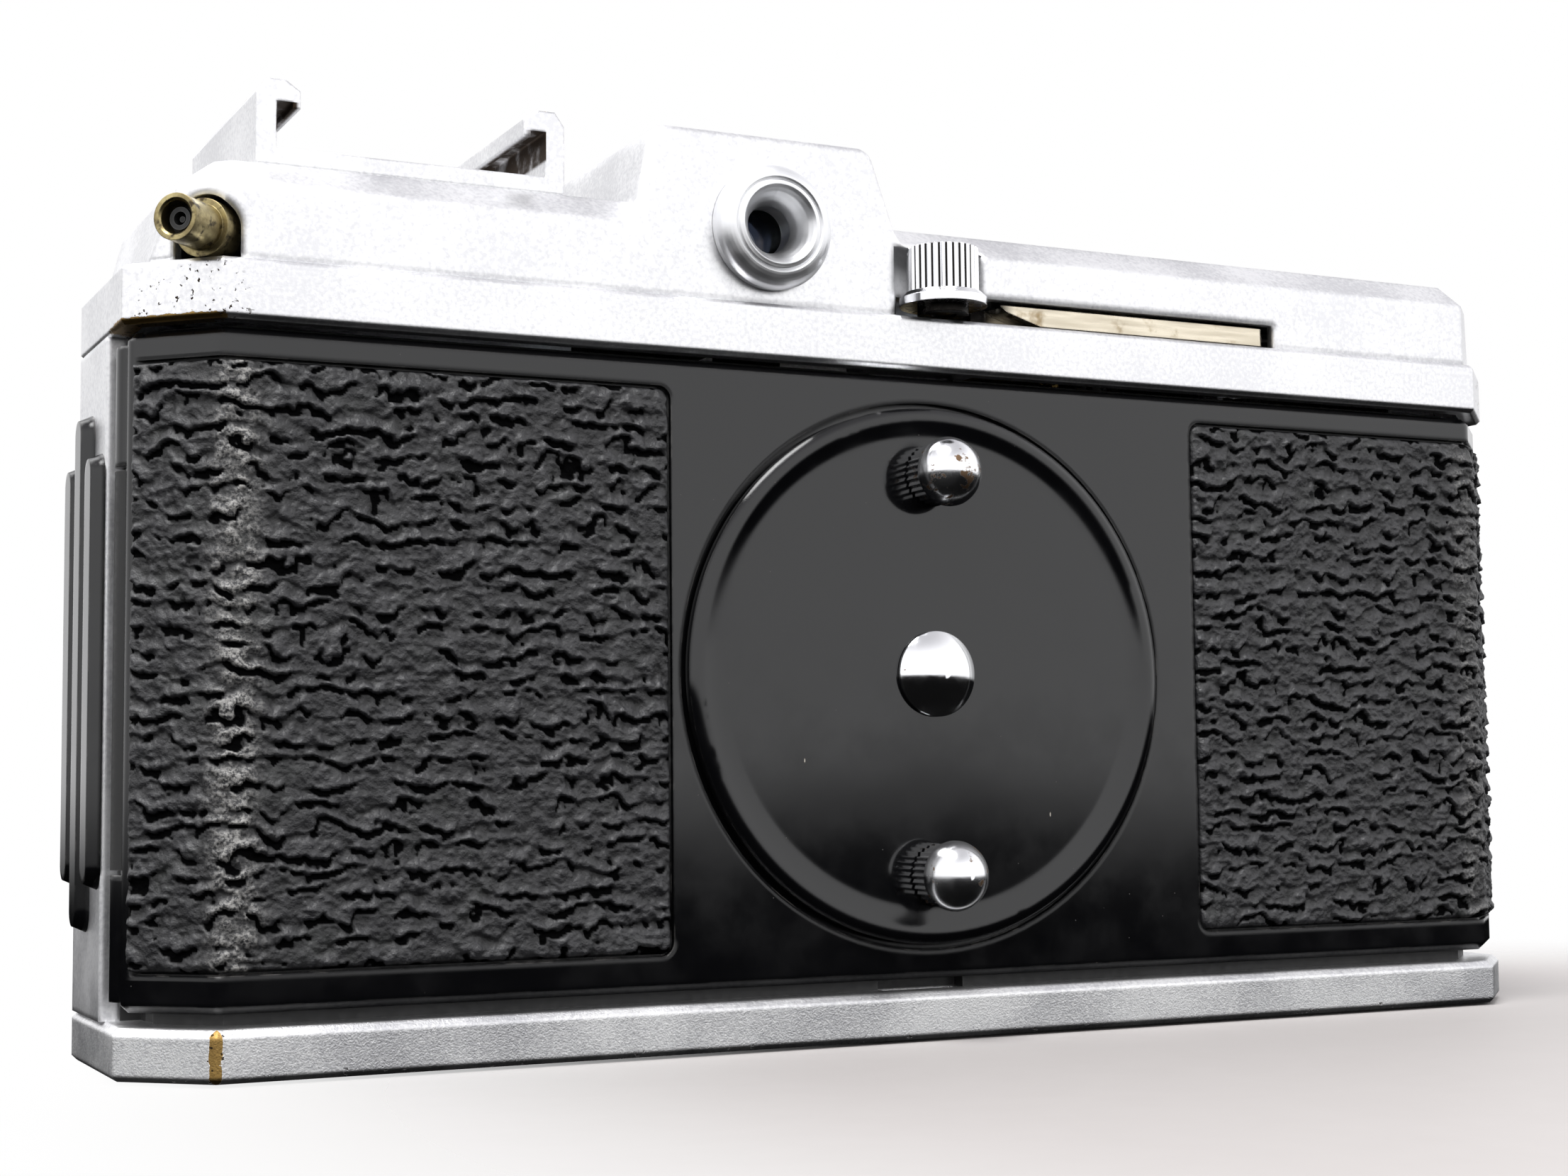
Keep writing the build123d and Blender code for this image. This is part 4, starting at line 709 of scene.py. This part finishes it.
def build_world():
    """Surroundings: white as seen, and for reflections a bright room above a dark floor."""
    world = bpy.data.worlds.new("studio")
    bpy.context.scene.world = world
    world.use_nodes = True
    g = Graph(world.node_tree, "Generated")
    split = g.add("ShaderNodeSeparateXYZ")
    g.feed(split.inputs[0], g.place)
    up = split.outputs["Z"]
    # the wall the lens faces is the dim side of the room
    side = g.ramp(split.outputs["Y"], -0.4, 0.2, 0.66, 1.0)
    walls = g.math("MULTIPLY", g.ramp(up, -0.05, 0.012, 0.005, WALL_LIGHT), side)
    room = g.math("MINIMUM", walls, g.ramp(up, 0.5, 0.92, WALL_LIGHT, CEILING_LIGHT))
    seen, rest = g.add("ShaderNodeBackground"), g.add("ShaderNodeBackground")
    g.feed(seen.inputs["Color"], (1.0, 1.0, 1.0, 1.0))
    g.feed(rest.inputs["Color"], g.mix(g.ramp(up, 0.45, 0.9), (0.99, 0.99, 1.0), (0.97, 0.96, 1.0)))
    g.feed(rest.inputs["Strength"], room)
    both = g.add("ShaderNodeMixShader")
    g.feed(both.inputs[0], g.add("ShaderNodeLightPath").outputs["Is Camera Ray"])
    g.feed(both.inputs[1], rest.outputs[0])
    g.feed(both.inputs[2], seen.outputs[0])
    g.feed(g.add("ShaderNodeOutputWorld").inputs["Surface"], both.outputs[0])


def softbox(name, place, target, size, watts):
    """Large soft lamp at place, facing target."""
    lamp = bpy.data.lights.new(name, "AREA")
    lamp.shape = "DISK"
    lamp.size = size
    lamp.energy = watts
    lamp_object = bpy.data.objects.new(name, lamp)
    bpy.context.scene.collection.objects.link(lamp_object)
    lamp_object.location = place
    direction = Vector(target) - Vector(place)
    lamp_object.rotation_mode = "QUATERNION"
    lamp_object.rotation_quaternion = direction.to_track_quat("-Z", "Y")


def build_camera():
    """Photographer's viewpoint: behind the camera, low, a hand's length from it."""
    camera = bpy.data.cameras.new("viewpoint")
    camera.sensor_width = 36.0
    camera.lens = 54.82
    camera.clip_start, camera.clip_end = 0.01, 20.0
    viewpoint = bpy.data.objects.new("viewpoint", camera)
    bpy.context.scene.collection.objects.link(viewpoint)
    forward = Vector((-0.44216, -0.89327, 0.08106)).normalized()
    right = Vector((-0.89654, 0.44285, -0.01026))
    right = (right - forward * right.dot(forward)).normalized()
    up = right.cross(forward)
    turn = Matrix((right, up, -forward)).transposed().to_4x4()
    viewpoint.matrix_world = Matrix.Translation((0.08778, 0.16749, 0.01868)) @ turn
    bpy.context.scene.camera = viewpoint


build_floor()
build_world()
softbox("window", (0.2, 0.2, 0.7), (0, 0, 0.03), 0.35, 5.0)
softbox("shadow_side", (0.4, -0.35, 0.6), (0, 0, 0.03), 0.5, 1.6)
build_camera()
bpy.context.scene.view_settings.view_transform = "Standard"
